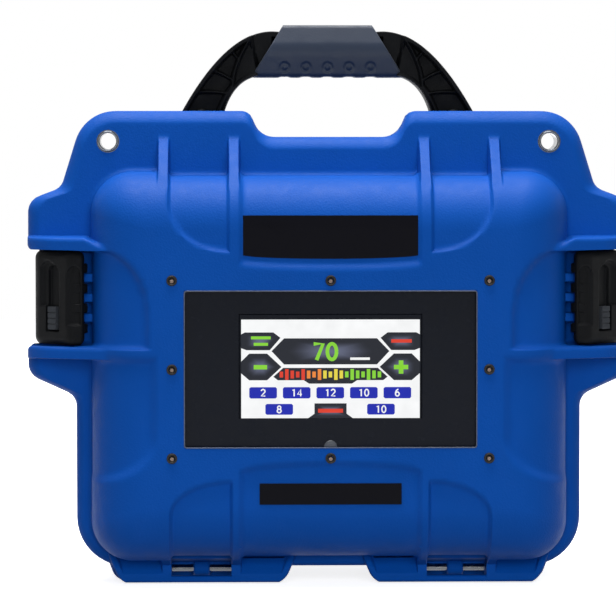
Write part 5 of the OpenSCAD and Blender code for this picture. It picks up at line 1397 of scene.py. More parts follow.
@dataclass
class Handle:
    """The carrying handle: two ribbed arms of an I section, and a soft grip with dimples.

    Sizes are in millimetres. Places along and across an arm are shares, from 0 at the grip to 1 at the
    start of its straight leg, and from 0 at its inner edge to 1 at its outer one. A rib, a dimple and a
    notch are given by half their width, the softness of their edge, and their height or depth.
    """

    pivot_y: float = -1.9
    pivot_z: float = 236.0
    half_t: float = 11.0
    neck_half_t: float = 5.5
    neck_share: float = 0.11
    rim_out: float = 2.6
    rim_in: float = 1.6
    edge_in: float = 0.9
    pocket: float = 6.0
    pocket_soft: float = 1.4
    pocket_shares: Pair = (0.1, 1.32)
    fade_share: float = 0.05
    corner_share: float = 0.6
    outer_curve: tuple[Pair, ...] = ((36.0, 292.0), (57.5, 287.0), (78.6, 248.5))
    inner_curve: tuple[Pair, ...] = ((34.0, 269.3), (49.0, 268.8), (54.9, 250.5))
    stay_shares: Pair = (0.12, 0.97)
    stay_end_share: float = 0.62
    stay_slope: float = 1.66
    stay_lean: float = 0.75
    stay_half: float = 0.9
    rib_shares: tuple[float, ...] = (0.33, 0.58, 0.79)
    rib_slant: float = 0.1
    rib_size_shares: Triple = (0.014, 0.018, 0.75)
    bar_half_w: float = 30.0
    bar_low: float = 271.0
    bar_high: float = 290.0
    boss_x: float = 67.5
    boss_z: float = 247.2
    boss_r: float = 4.2
    boss_out: float = 9.0
    boss_dome: float = 2.0
    grip_corners: tuple[Triple, ...] = ((6.8, 268.0, 4.0), (13.5, 283.0, 10.0), (7.2, 296.0, 2.6))
    grip_half_w: float = 40.3
    grip_narrower: float = 16.1
    grip_end_x: float = 31.0
    grip_end_in: Pair = (1.2, 0.45)
    grip_columns: int = 150
    grip_rows: int = 150
    dimple_x: tuple[float, ...] = (-23.0, -11.5, 0.0, 11.5, 23.0)
    dimple_z: float = 273.5
    dimple_r: float = 2.0
    dimple: Triple = (0.75, 0.9, 0.6)
    notch: Triple = (2.6, 2.4, 0.5)
    notch_h: float = 1.5

    def build(self) -> None:
        """Builds the handle's pieces."""
        arms = together([self._arm().paired(), self._bar(), self._boss().paired()])
        build("handle_arms", arms, BLACK_PLASTIC, Body.HANDLE, ("handle_frame",),
              sharp_deg=38, outward=True)
        build("handle_grip_sleeve", self._grip(), GRIP_RUBBER, Body.HANDLE, ("handle_grip",),
              sharp_deg=50)

    @staticmethod
    def _curve(points: Sequence[Pair], s: Array) -> Array:
        """A quadratic curve of three points, at shares along it."""
        first, bend, last = np.array(points)
        return first * (1 - s) ** 2 + 2 * bend * s * (1 - s) + last * s ** 2

    def _arm(self) -> Surface:
        """The right arm: a closed I section carried down from the grip and round to the pivot.

        The section lies between the outer and the inner edge, which are quadratic curves followed by
        straight legs. Its front and back lie at half the thickness less the pocket's depth, which fades at
        the rims, along a straight stay up to the grip and at three slanted cross ribs. Towards the pivot's
        end the thickness follows a half circle.

        Returns:
            The surface of the arm.
        """
        s = np.linspace(-0.25, 1, 210)[:, None]
        turn = np.linspace(0, np.pi / 2, 8)[1:]
        fall = np.concatenate([np.linspace(0, 0.8, 20)[1:], 0.8 + 0.2 * np.sin(turn)])[:, None]
        low = self.pivot_z - self.half_t
        outer, inner = self._curve(self.outer_curve, s), self._curve(self.inner_curve, s)
        outer, inner = [np.concatenate([p, p[-1] * [1, 0] + [0, 1] * (p[-1, 1] + (low - p[-1, 1]) * fall)])
                        for p in (outer, inner)]
        along = np.concatenate([s, 1 + 0.5 * fall])
        across = np.concatenate([[0.0], np.linspace(0.02, 0.98, 44), [1.0]])[None]
        wide = np.linalg.norm(outer - inner, axis=1, keepdims=True)
        rise = self.stay_slope * (self.stay_end_share - along)
        line = np.clip(self.stay_shares[0] + rise, *self.stay_shares)
        off = (across - line) * wide * self.stay_lean
        inside = np.minimum(off - self.stay_half, (1 - across) * wide - self.rim_out)
        corner = np.minimum(-off - self.stay_half, across * wide - self.rim_in)
        slant = self.rib_slant * (across - 0.5)
        near = np.min([np.abs(along - at - slant) for at in self.rib_shares], axis=0)
        half, soft, tall = self.rib_size_shares
        web = smooth_step(inside, self.pocket_soft) * (1 - tall * smooth_step(half - near, soft))
        web = web + self.corner_share * smooth_step(corner, self.pocket_soft)
        first, last = self.pocket_shares
        web = web * smooth_step(along - first - slant, self.fade_share)
        web = web * smooth_step(last - along, self.fade_share)
        edge = np.where((across <= 0) | (across >= 1), self.edge_in, 0.0)
        xz = inner[:, None] + across[..., None] * (outer - inner)[:, None]
        height = np.clip(self.pivot_z - xz[..., 1], 0, self.half_t)
        round_off = np.sqrt(np.clip(1 - (height / self.half_t) ** 2, 0.0, 1))
        thicker = (self.half_t - self.neck_half_t) * smooth_step(along - self.neck_share, self.fade_share)
        half = (self.neck_half_t + thicker - edge - self.pocket * web) * round_off
        front = np.stack([xz[..., 0], self.pivot_y - half, xz[..., 1]], -1)
        back = np.stack([xz[..., 0], self.pivot_y + half, xz[..., 1]], -1)[:, ::-1]
        return grid(np.concatenate([front, back], 1), True)

    def _bar(self) -> Surface:
        """The bar inside the grip, which joins the arms."""
        w, t = self.bar_half_w, self.neck_half_t
        return box((-w, self.pivot_y - t, self.bar_low), (w, self.pivot_y + t, self.bar_high))

    def _boss(self) -> Surface:
        """The round end of the pivot pin's seat on the right arm, as a turned button.

        Returns:
            The surface.
        """
        turn = np.linspace(0, np.pi / 2, 8)
        button = np.stack([self.boss_r * np.cos(turn), -self.boss_out - self.boss_dome * np.sin(turn)], 1)
        profile = np.concatenate([[(self.boss_r, 0.0)], button])
        return lathe(profile, (self.boss_x, self.pivot_y, self.boss_z), 1, 32)

    def _grip(self) -> Surface:
        """The grip: a rounded section carried across, whose ends lean so that the underside is wider.

        The section has equal steps along its outline, whose corners are given by their half thickness,
        height and radius. Round dimples sink the lower front, and shallow notches the underside.

        Returns:
            The closed surface.
        """
        (_, low, _), (half_t, _, _), (_, high, _) = self.grip_corners
        mid = (low + high) / 2
        other = [(-y, z, r) for y, z, r in self.grip_corners[::-1]]
        section = rounded_outline([*self.grip_corners, *other], 12)
        y, z = evenly(section, self.grip_columns).T
        s = np.concatenate([[-1, -0.995], np.linspace(-0.98, 0.98, self.grip_rows), [0.995, 1]])
        half_w = self.grip_half_w - self.grip_narrower * (z - low) / (high - low)
        ends = np.concatenate([self.grip_end_in, np.zeros(self.grip_rows), self.grip_end_in[::-1]])
        x = s[:, None] * half_w[None]
        yy = y[None] - ends[:, None] * (y / half_t)[None]
        zz = z[None] - ends[:, None] * ((z - mid) / (high - mid))[None]
        dimples = np.array(self.dimple_x)
        near = np.min(np.hypot(x[..., None] - dimples, zz[..., None] - self.dimple_z), axis=-1)
        half, soft, deep = self.dimple
        dimple = deep * smooth_step(half - np.abs(near - self.dimple_r), soft) * (yy < 0)
        beside = np.min(np.abs(x[..., None] - dimples), axis=-1)
        half, soft, deep = self.notch
        zz = zz + deep * smooth_step(half - beside, soft) * (zz < low + self.notch_h)
        points = np.stack([x, yy + dimple + self.pivot_y, zz], -1)
        left, right = [np.broadcast_to([end * self.grip_end_x, self.pivot_y, mid], (1, len(y), 3))
                       for end in (-1, 1)]
        return grid(np.concatenate([left, points, right]), True)


@dataclass
class Latch:
    """One side latch: a bent plate with two sunk grips, a claw and a barrel on its pin.

    A slot is given by its middle and half width across, and by the heights of its lower end and its top.
    """

    side: Side
    end_r: float = 4.0
    end_share: float = 0.7
    skin_y: float = -54.5
    plan: tuple[Triple, ...] = (
        (128.6, -57.0, 2.2), (136.1, -57.0, 7.0), (155.0, -37.9, 9.0), (155.0, -4.6, 6.0), (155.6, 2.4, 0.6),
        (151.5, 2.4, 0.6), (148.0, -6.6, 0.5), (148.0, -10.9, 0.4), (135.7, -10.9, 0.4), (135.7, -16.9, 0.4),
        (148.0, -19.9, 0.6), (148.0, -34.4, 2.0), (136.0, -47.2, 1.0), (128.6, -47.2, 2.4))
    near_slot: Four = (134.0, 3.5, 138.0, 168.5)
    far_slot: Four = (148.2, 3.3, 148.0, 171.0)
    lock_bed: Four = (145.6, 3.3, 134.4, 169.0)
    near_d: float = 1.8
    far_d: float = 1.7
    bed_d: float = 3.3
    slot_soft: float = 1.8
    bed_soft: float = 0.8
    face_back_y: float = -30.0
    cut_x: float = 138.0
    lug_play: float = 0.4
    knuckle_r: float = 4.6
    knuckle_edge: float = 0.5
    knuckle_play: float = 1.0

    def build(self) -> None:
        """Builds the latch."""
        name = self.side.name.lower()
        skin, body = self._plate(), Body.RIGHT_LATCH
        if self.side is Side.LEFT:
            skin, body = skin.mirrored(), Body.LEFT_LATCH
        build(f"{name}_latch_plate", skin, BLACK_PLASTIC, body, (f"{name}_latch",),
              sharp_deg=38, outward=True)

    def _plate(self) -> Surface:
        """The right latch: its plan carried up its height, drawn in at both ends and at the sunk grips.

        The plan is a closed loop. At each height the loop moves inward along its own normals by the end
        rounding and by the depth of the two grips and of the lock's bed. Behind the front skin the barrel is
        cut away at each lug, and turned knuckles stand on the pin between the lugs.

        Returns:
            The closed surface.
        """
        c, r = CASE, self.end_r
        path = evenly(rounded_outline(self.plan, 8), 380)
        out = outward_of(path)
        low, high = c.latch_z - c.latch_h / 2, c.latch_z + c.latch_h / 2
        ease = r * (1 - np.cos(np.linspace(0, np.pi / 2, 10)))[:-1]
        z = np.concatenate([low + ease, np.linspace(low + r, high - r, 130), (high - ease)[::-1]])
        roll = self.end_share * rolled(np.minimum(z - low, high - z), r)
        x, y = path.T
        face = ((y < self.face_back_y) & (out[:, 1] < -0.3)).astype(float)
        near = smooth_step(self._slot(x, z, *self.near_slot), self.slot_soft)
        far = smooth_step(self._slot(x, z, *self.far_slot), self.slot_soft)
        bed = smooth_step(self._slot(x, z, *self.lock_bed), self.bed_soft)
        draw = roll[:, None] + face * (self.near_d * near + np.maximum(self.far_d * far, self.bed_d * bed))
        spot = path[None] - draw[..., None] * out[None]
        lug_z = c.latch_z + c.lug_pitch * np.array([-1, 0, 1])
        lugs = np.abs(z[:, None] - lug_z).min(1) < c.lug_t / 2 + self.lug_play
        behind = lugs[:, None] & (spot[..., 0] < self.cut_x) & (face == 0)
        spot[..., 1] = np.where(behind, np.minimum(spot[..., 1], self.skin_y), spot[..., 1])
        heights = np.broadcast_to(z[:, None, None], (*spot.shape[:2], 1))
        plate = grid(np.concatenate([spot, heights], -1), True)
        cap = np.arange(len(path))[None]
        plate.faces += [cap[:, ::-1], cap + len(path) * (len(z) - 1)]
        return together([plate, *self._knuckles()])

    def _knuckles(self) -> list[Surface]:
        """The knuckles between and beside the lugs, turned about the pin.

        Returns:
            The closed surfaces.
        """
        c, r, edge = CASE, self.knuckle_r, self.knuckle_edge
        gap = c.lug_pitch - c.lug_t - self.knuckle_play
        knob = np.array([(0.0, 0.0), (r - edge, 0.0), (r, edge), (r, gap - edge), (r - edge, gap),
                         (0.0, gap)])
        low = [c.latch_z + k * c.lug_pitch / 2 - gap / 2 for k in (-3, -1, 1, 3)]
        return [lathe(knob, (c.pin_x, c.pin_y, z), 2, 40) for z in low]

    @staticmethod
    def _slot(x: Array, z: Array, mid: float, half: float, low: float, high: float) -> Array:
        """Signed distance into an upright slot with an arched top.

        Args:
            x: Places across, one for each column.
            z: Heights, one for each row.
            mid: Middle of the slot across.
            half: Half its width.
            low: Height of its lower end.
            high: Height of the top of its arch.

        Returns:
            The distances, positive inside, shape (rows, columns).
        """
        across = np.clip((x - mid) / half, -1, 1)
        arch = high - half * (1 - np.sqrt(1 - across ** 2))
        up = np.minimum(z[:, None] - low, arch[None] - z[:, None])
        return np.minimum(half - np.abs(x - mid)[None], up)


@dataclass
class Panel:
    """The front panel: its labels, pad, rim and screws, and the lit screen with its plain graphics.

    A label is given by its width, the heights of its lower and upper edge, and its bow.
    """

    screen_z: float = 115.6
    screen_w: float = 93.0
    screen_h: float = 51.4
    screen_y: float = -70.2
    upper_label: Four = (91.0, 173.0, 195.5, 2.2)
    lower_label: Four = (74.0, 45.0, 56.0, 0.0)
    film_t: float = 0.6
    film_edge: float = 0.7
    pad_r: float = 3.4
    pad_t: float = 0.7
    pad_y: float = -70.45
    pad_gap: float = 0.2
    rim_r: float = 0.34
    rim_corner_r: float = 1.4
    head_r: float = 2.8
    head_h: float = 3.0
    head_proud: float = 1.4
    head_bowl: tuple[Pair, ...] = (
        (0.0, 1.9), (1.0, 1.75), (1.3, 1.5), (1.5, 1.0), (1.7, 0.45), (1.9, 0.12), (2.2, 0.0), (2.5, 0.1),
        (2.7, 0.4))
    head_flat: float = 0.9
    shank_r: float = 1.5
    shank_l: float = 13.6
    socket_floor: tuple[Pair, ...] = ((0.0, 1.5), (0.6, 1.46), (0.95, 1.4))
    # How far below the screw's middle the pale socket disc sits, so that it paints light on the bowl's lower
    # side.
    painted_light_drop: float = 0.35

    def build(self) -> None:
        """Builds the labels, the pad, the rim, the screws and the screen."""
        upper, lower = self._label(*self.upper_label), self._label(*self.lower_label)
        build("upper_label_film", upper, LABEL_BLACK, Body.LID, ("upper_label",))
        build("lower_label_film", lower, LABEL_BLACK, Body.LID, ("lower_label",))
        build("panel_pad", self._pad(), PAD_GREY, Body.LID)
        # The pale bead round the window is a painted highlight along the panel's edge.
        build("panel_rim_highlight", self._rim(), EDGE_HIGHLIGHT_PAINT, Body.LID, outward=True)
        self._screws()
        Screen(self.screen_z, self.screen_w, self.screen_h, self.screen_y).build()

    def _pad(self) -> Surface:
        """A half-round pad at the lower edge of the panel, as a flat turned dome of 180 degrees.

        Returns:
            The surface.
        """
        c = CASE
        r, turn = np.meshgrid(np.linspace(0, self.pad_r, 10), np.linspace(0, np.pi, 28), indexing="ij")
        level = self.pad_y - self.pad_t * np.sqrt(np.clip(1 - (r / self.pad_r) ** 4, 0, 1))
        low = c.panel_z - c.window_h / 2 + self.pad_gap
        return grid(np.stack([r * np.cos(turn), level, low + r * np.sin(turn)], -1))

    def _rim(self) -> Surface:
        """The panel's edge: a round bead carried along the rounded outline of the window, whose pale colour
        is painted highlight.

        Returns:
            The closed surface.
        """
        c, r = CASE, self.rim_corner_r
        w, low, high = c.window_w / 2, c.panel_z - c.window_h / 2, c.panel_z + c.window_h / 2
        path = rounded_outline([(-w, low, r), (w, low, r), (w, high, r), (-w, high, r)], 6)
        turn = np.linspace(0, 2 * np.pi, 13)[:, None]
        spot = path[None] + self.rim_r * np.cos(turn)[..., None] * outward_of(path)[None]
        level = c.face_y + self.rim_r * np.sin(turn) + 0 * spot[..., 0]
        return grid(np.stack([spot[..., 0], level, spot[..., 1]], -1), True)

    def _screws(self) -> None:
        """The panel's screws: turned heads with a rounded rim and a bowl, on shanks. In each bowl a disc of
        the socket's brownish bare steel, made paler and set low, is painted light on the lower side of the
        socket.
        """
        c = CASE
        r, shank, front = self.head_r, self.shank_r, c.face_y - self.head_proud
        body = [(r, self.head_flat), (r, self.head_h), (shank, self.head_h), (shank, self.shank_l),
                (0.0, self.shank_l)]
        head, floor = np.array([*self.head_bowl, *body]), np.array(self.socket_floor)
        spots = [(i * c.screw_x, front, c.panel_z + k * c.screw_z)
                 for i in (-1, 0, 1) for k in (-1, 0, 1) if i or k]
        heads = [lathe(head, at, 1, 28).flipped() for at in spots]
        # Pale discs set low in the bowls: painted light on the lower side of each socket.
        floors = [lathe(floor, (x, y, z - self.painted_light_drop), 1, 28).flipped() for x, y, z in spots]
        build("panel_screw_heads", together(heads), BLACK_STEEL, Body.LID, ("panel_screws",))
        build("screw_socket_painted_light", together(floors), SOCKET_STEEL_PAINTED_LIGHT, Body.LID)

    def _label(self, width: float, low: float, high: float, bow: float) -> Surface:
        """A label film that follows the scooped face: its depth is that of the rounding, less its thickness.

        Args:
            width: Width of the label.
            low: Height of its lower edge.
            high: Height of its upper edge.
            bow: How much higher the ends of the lower edge are.

        Returns:
            The surface with a turned-back edge.
        """
        c = CASE
        x, z = np.meshgrid(np.linspace(-width / 2, width / 2, 40), np.linspace(low, high, 24), indexing="xy")
        over = np.maximum(np.abs(z - c.mid_z) - (c.half_h - c.face_r), 0)
        level = c.face_r - np.sqrt((c.face_r - c.scoop_d) ** 2 - over ** 2)
        lift = 1 - np.sqrt(np.clip(1 - (x / (width / 2 + 1)) ** 2, 0, 1))
        z = z + lift * bow * (high - z) / (high - low)
        whole, border = skirted(np.stack([x, c.face_y + level - self.film_t, z], -1))
        whole[border, 1] += self.film_edge
        return grid(whole)


class Ink(Enum):
    """Colours of the lit screen."""

    WHITE = "#fbfcfd"
    DARK = "#23262f"
    GLOW = "#7f86a3"
    GREEN = "#8ad83a"
    RED = "#e0402c"
    ORANGE = "#f08a3c"
    YELLOW = "#ead84a"
    BLUE = "#1a28b0"


@dataclass
class Screen:
    """The lit screen: flat shapes of several colours, one above the other by a hair's breadth."""

    z: float
    w: float
    h: float
    y: float
    layer_mm: float = 0.03
    cut_shares: Pair = (0.008, 0.014)
    button_share: float = 0.155
    digit_share: float = 0.078
    cell_mm: float = 8.0
    shapes: list[tuple[Array, Array, Array]] = field(default_factory=list)

    @staticmethod
    def _arc(x: float, y: float, rx: float, ry: float, start: float, end: float) -> Array:
        """Points along an arc of an ellipse about a middle, between two angles in degrees."""
        t = np.radians(np.linspace(start, end, 28))
        return np.stack([x + rx * np.cos(t), y + ry * np.sin(t)], 1)

    def _glyph(self, sign: str) -> list[Array]:
        """The strokes of a digit in a box 0.6 wide and 1 high, as lines and arcs of ellipses.

        Args:
            sign: The digit.

        Returns:
            The points of each stroke.
        """
        arc = self._arc
        lines = {"1": [[(0.12, 0.2), (0.34, 0.04), (0.34, 0.96)]],
                 "7": [[(0.04, 0.08), (0.55, 0.08), (0.2, 0.96)]],
                 "4": [[(0.44, 0.96), (0.44, 0.06), (0.04, 0.7), (0.6, 0.7)]]}
        rings = {"0": [arc(0.3, 0.5, 0.25, 0.43, 0, 360)],
                 "2": [np.concatenate([arc(0.3, 0.31, 0.24, 0.25, 190, 390), [(0.06, 0.92), (0.58, 0.92)]])],
                 "6": [arc(0.3, 0.68, 0.24, 0.26, 0, 360), arc(0.5, 0.62, 0.44, 0.56, 180, 262)],
                 "8": [arc(0.3, 0.28, 0.2, 0.21, 0, 360), arc(0.3, 0.71, 0.25, 0.23, 0, 360)]}
        return [np.array(p, float) for p in lines.get(sign, [])] + rings.get(sign, [])

    def add(self, points: Sequence[Pair] | Array, ink: Ink, level: int,
            faces: Array | None = None) -> None:
        """Adds one polygon, in shares of the screen from its upper left corner.

        Args:
            points: Corners in order round the polygon.
            ink: Its colour.
            level: How many layers it lies above the glass.
            faces: Its faces, where it isn't one polygon.
        """
        x, down = np.array(points, float).T
        front = 0 * x + self.y - self.layer_mm * level
        place = np.stack([(x - 0.5) * self.w, front, self.z + (0.5 - down) * self.h], 1)
        tint = np.tile(linear(ink.value), (len(x), 1))
        self.shapes.append((place, tint, np.arange(len(x))[None] if faces is None else faces))

    def tile(self, points: Sequence[Pair], level: int = 2) -> None:
        """Adds a dark tile that glows from its middle.

        It is made of rings of its outline drawn in, with a cosine fall of light.

        Args:
            points: Corners in order round the tile.
            level: How many layers it lies above the glass.
        """
        edge = np.array(points, float)
        mid = (edge.min(0) + edge.max(0)) / 2
        share = np.linspace(1, 0.001, 12)
        rings = mid + share[:, None, None] * (edge - mid)
        self.add(rings.reshape(-1, 2), Ink.DARK, level, grid_faces(len(share), len(edge), True))
        lit = 0.5 + 0.5 * np.cos(np.pi * np.clip(share / 0.75, 0, 1))
        dark, glow = np.array(linear(Ink.DARK.value)), np.array(linear(Ink.GLOW.value))
        tint = dark + 0.6 * np.repeat(lit, len(edge))[:, None] * (glow - dark)
        self.shapes[-1] = (self.shapes[-1][0], tint, self.shapes[-1][2])

    def bar(self, x0: float, y0: float, x1: float, y1: float, ink: Ink, level: int) -> None:
        """Adds an upright rectangle between its left and upper and its right and lower shares."""
        self.add([(x0, y0), (x1, y0), (x1, y1), (x0, y1)], ink, level)

    def button(self, x0: float, y0: float, x1: float, y1: float, ink: Ink, level: int) -> None:
        """Adds a rectangle with cut corners.

        Args:
            x0: Left share.
            y0: Upper share.
            x1: Right share.
            y1: Lower share.
            ink: Its colour.
            level: Its layer.
        """
        a, b = self.cut_shares
        self.add([(x0 + a, y0), (x1 - a, y0), (x1, y0 + b), (x1, y1 - b), (x1 - a, y1), (x0 + a, y1),
                  (x0, y1 - b), (x0, y0 + b)], ink, level)

    def number(self, text: str, x: float, y: float, height: float, ink: Ink, level: int,
               weight: float = 0.17) -> None:
        """Writes plain numbers, centred on a place, as bands carried along the strokes of each digit.

        Args:
            text: The digits.
            x: Share across of the middle.
            y: Share down of the middle.
            height: Share of the screen's height.
            ink: The colour.
            level: The layer.
            weight: Width of the strokes as a share of the height.
        """
        ratio = self.h / self.w
        for i, sign in enumerate(text):
            left = x + ((i - (len(text) - 1) / 2) * 0.74 - 0.3) * height * ratio
            for line in self._glyph(sign):
                ahead = np.gradient(line, axis=0)
                ahead /= np.linalg.norm(ahead, axis=1, keepdims=True)
                out = np.stack([-ahead[:, 1], ahead[:, 0]], 1) * weight / 2
                band = np.concatenate([line + out, line - out]) * [height * ratio, height]
                self.add(band + [left, y - height / 2], ink, level, grid_faces(2, len(line))[:, ::-1])

    def draw(self) -> None:
        """Lays out the plain graphics of the screen."""
        self.bar(0, 0, 1, 1, Ink.WHITE, 1)
        corner = [(0.0, 0.15), (0.02, 0.13), (0.18, 0.13), (0.22, 0.185), (0.16, 0.31), (0.03, 0.31),
                  (0.0, 0.29)]
        step = [(0.045, 0.345), (0.145, 0.345), (0.225, 0.48), (0.145, 0.615), (0.045, 0.615), (0.0, 0.545),
                (0.0, 0.425)]
        for shape in (corner, step):
            self.tile(shape)
            self.tile([(1 - x, y) for x, y in shape])
        self.tile([(0.24, 0.19), (0.76, 0.19), (0.83, 0.32), (0.76, 0.455), (0.24, 0.455), (0.17, 0.32)])
        self.add([(0.235, 0.49), (0.765, 0.49), (0.82, 0.58), (0.795, 0.615), (0.65, 0.615), (0.62, 0.65),
                  (0.38, 0.65), (0.35, 0.615), (0.205, 0.615), (0.18, 0.58)], Ink.DARK, 2)
        marks = ((0.055, 0.17, 0.165, 0.2, Ink.GREEN), (0.07, 0.235, 0.15, 0.265, Ink.GREEN),
                 (0.84, 0.2, 0.955, 0.235, Ink.RED), (0.61, 0.385, 0.72, 0.41, Ink.WHITE))
        for x0, y0, x1, y1, ink in marks:
            self.bar(x0, y0, x1, y1, ink, 4)
        self.number("70", 0.47, 0.325, 0.185, Ink.GREEN, 4, 0.2)
        self.bar(0.07, 0.46, 0.145, 0.505, Ink.GREEN, 4)
        self.bar(0.855, 0.46, 0.935, 0.505, Ink.GREEN, 4)
        self.bar(0.882, 0.415, 0.908, 0.55, Ink.GREEN, 4)
        inks = [Ink.RED] * 5 + [Ink.ORANGE] * 3 + [Ink.YELLOW] * 4 + [Ink.GREEN] * 7
        for i, ink in enumerate(inks):
            x = 0.215 + i * 0.0305
            tall = (0.03, 0.055, 0.04)[i % 3]
            self.bar(x, 0.557 - tall, x + 0.0195, 0.557 + tall, ink, 4)
        for i, text in enumerate(("2", "14", "12", "10", "6")):
            x = 0.045 + i * 0.188
            self.button(x, 0.685, x + self.button_share, 0.8, Ink.BLUE, 2)
            self.number(text, x + self.button_share / 2, 0.742, self.digit_share, Ink.WHITE, 4)
        for x, text in ((0.135, "8"), (0.705, "10")):
            self.button(x, 0.855, x + self.button_share, 0.965, Ink.BLUE, 2)
            self.number(text, x + self.button_share / 2, 0.91, self.digit_share, Ink.WHITE, 4)
        self.tile([(0.41, 0.85), (0.59, 0.85), (0.59, 0.955), (0.625, 1.0), (0.375, 1.0), (0.41, 0.955)])
        self.bar(0.43, 0.905, 0.57, 0.945, Ink.RED, 4)

    def build(self) -> None:
        """Builds the screen as one piece with a colour for each shape."""
        self.draw()
        points, faces, colours = [], [], []
        start = 0
        for place, tint, joined in self.shapes:
            points.append(place)
            faces += (joined + start).tolist()
            colours.append(tint)
            start += len(place)
        mesh = bpy.data.meshes.new("screen_graphics")
        mesh.from_pydata((np.concatenate(points) * MM).tolist(), [], faces)
        layer = mesh.color_attributes.new("ink", "FLOAT_COLOR", "POINT")
        layer.data.foreach_set("color", np.concatenate(colours).astype(np.float32).ravel())
        made = bpy.data.objects.new("screen_graphics", mesh)
        bpy.context.scene.collection.objects.link(made)
        mesh.materials.append(self._glow())
        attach(made, Body.LID.value)
        log.info("screen_graphics: %d shapes", len(self.shapes))

    def _glow(self) -> bpy.types.Material:
        """The lit glass: the shapes' own colours as light, under a faint gloss.

        Returns:
            The material.
        """
        made = bpy.data.materials.new("lit_display_glass")
        tree = fresh_tree(made)
        ink = add_node(tree, "Attribute", {"attribute_name": "ink"}).outputs["Color"]
        place = add_node(tree, "TexCoord").outputs["Object"]
        cell = add_node(tree, "TexNoise", Vector=place, Scale=1 / (self.cell_mm * MM), Detail=2.0)
        glow = add_node(tree, "MapRange", Value=cell.outputs["Fac"], To_Min=0.86, To_Max=1.04)
        shader = add_node(tree, "BsdfPrincipled", Base_Color=(0.01, 0.01, 0.01, 1.0), Roughness=0.3,
                          Specular_IOR_Level=0.05, Emission_Color=ink,
                          Emission_Strength=glow.outputs["Result"])
        add_node(tree, "OutputMaterial", Surface=shader.outputs["BSDF"])
        return made


@dataclass
class Eyelets:
    """The steel eyelets of the padlock holes: a rolled lip on a barrel, a pair in each half of the case."""

    bore_r: float = 4.3
    barrel_r: float = 5.0
    lip_r: float = 5.6
    lip_t: float = 0.8
    groove: float = 0.7
    collar_r: float = 6.4
    collar_t: float = 0.5
    seam: float = 0.15

    def build(self) -> None:
        """The pair of the lid and the pair of the base."""
        c = CASE
        build("lid_eyelet_rings", self._pair(c.lid_flange_y, -1), EYELET_STEEL, Body.LID,
              ("lid_eyelets",), outward=True)
        build("base_eyelet_rings", self._pair(c.base_flange_y, 1), EYELET_STEEL, Body.BASE,
              ("base_eyelets",), outward=True)

    def _pair(self, flange: float, out: int) -> Surface:
        """Two turned rings: the lip is half an ellipse over the flange, with a groove and a collar behind.

        Args:
            flange: Place of the flange's outer face along Y.
            out: Direction out of the flange along Y, 1 or -1.

        Returns:
            The two rings.
        """
        sweep = np.linspace(0, np.pi, 17)
        mid, half = (self.bore_r + self.lip_r) / 2, (self.lip_r - self.bore_r) / 2
        lip = np.stack([mid - half * np.cos(sweep), flange + out * self.lip_t * np.sin(sweep)], 1)
        low, end = flange - out * self.groove, CASE.part_y + out * self.seam
        under = low - out * self.collar_t
        rest = [(self.lip_r, low), (self.collar_r, low), (self.collar_r, under), (self.barrel_r, under),
                (self.barrel_r, end), (self.bore_r, end), (self.bore_r, flange)]
        return lathe(np.concatenate([lip, rest]), (CASE.eye_x, 0.0, CASE.eye_z), 1, 48).paired()


@dataclass
class CarriedNodes:
    """CAD nodes that are shown as they are, with rounded edges and their own materials."""

    bevel_mm: float = 0.35
    fine_bevel_mm: float = 0.15
    fine: tuple[str, ...] = ("panel_nuts", "connector_screws", "bar_screws", "chassis_screws",
                             "mains_blades", "left_latch_lock", "right_latch_lock")

    def build(self) -> None:
        """Gives each node its finish and soft edges."""
        finishes = {name: finish for finish, names in NODE_FINISH.items() for name in names.split()}
        for name, finish in finishes.items():
            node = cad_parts[name]
            node.data.materials.clear()
            node.data.materials.append(finish.material())
            node.data.polygons.foreach_set("use_smooth", np.ones(len(node.data.polygons), bool))
            width = self.fine_bevel_mm if name in self.fine else self.bevel_mm
            soften(node, width, weld=True, segments=2)
            log.info("%s: %s", name, finish.name)


@dataclass(frozen=True)
class Lamp:
    """A square soft light, with its places and its side in metres and its power in watts."""

    name: str
    at: Triple
    to: Triple
    size: float
    watts: float
    gloss: bool = True

    def build(self) -> None:
        """Adds the light, turned to what it faces; it may be left out of glossy reflections."""
        light = bpy.data.lights.new(self.name, "AREA")
        light.size = self.size
        light.energy = self.watts
        lamp = bpy.data.objects.new(self.name, light)
        lamp.location = self.at
        lamp.visible_glossy = self.gloss
        lamp.rotation_euler = (Vector(self.to) - Vector(self.at)).to_track_quat("-Z", "Y").to_euler()
        bpy.context.scene.collection.objects.link(lamp)


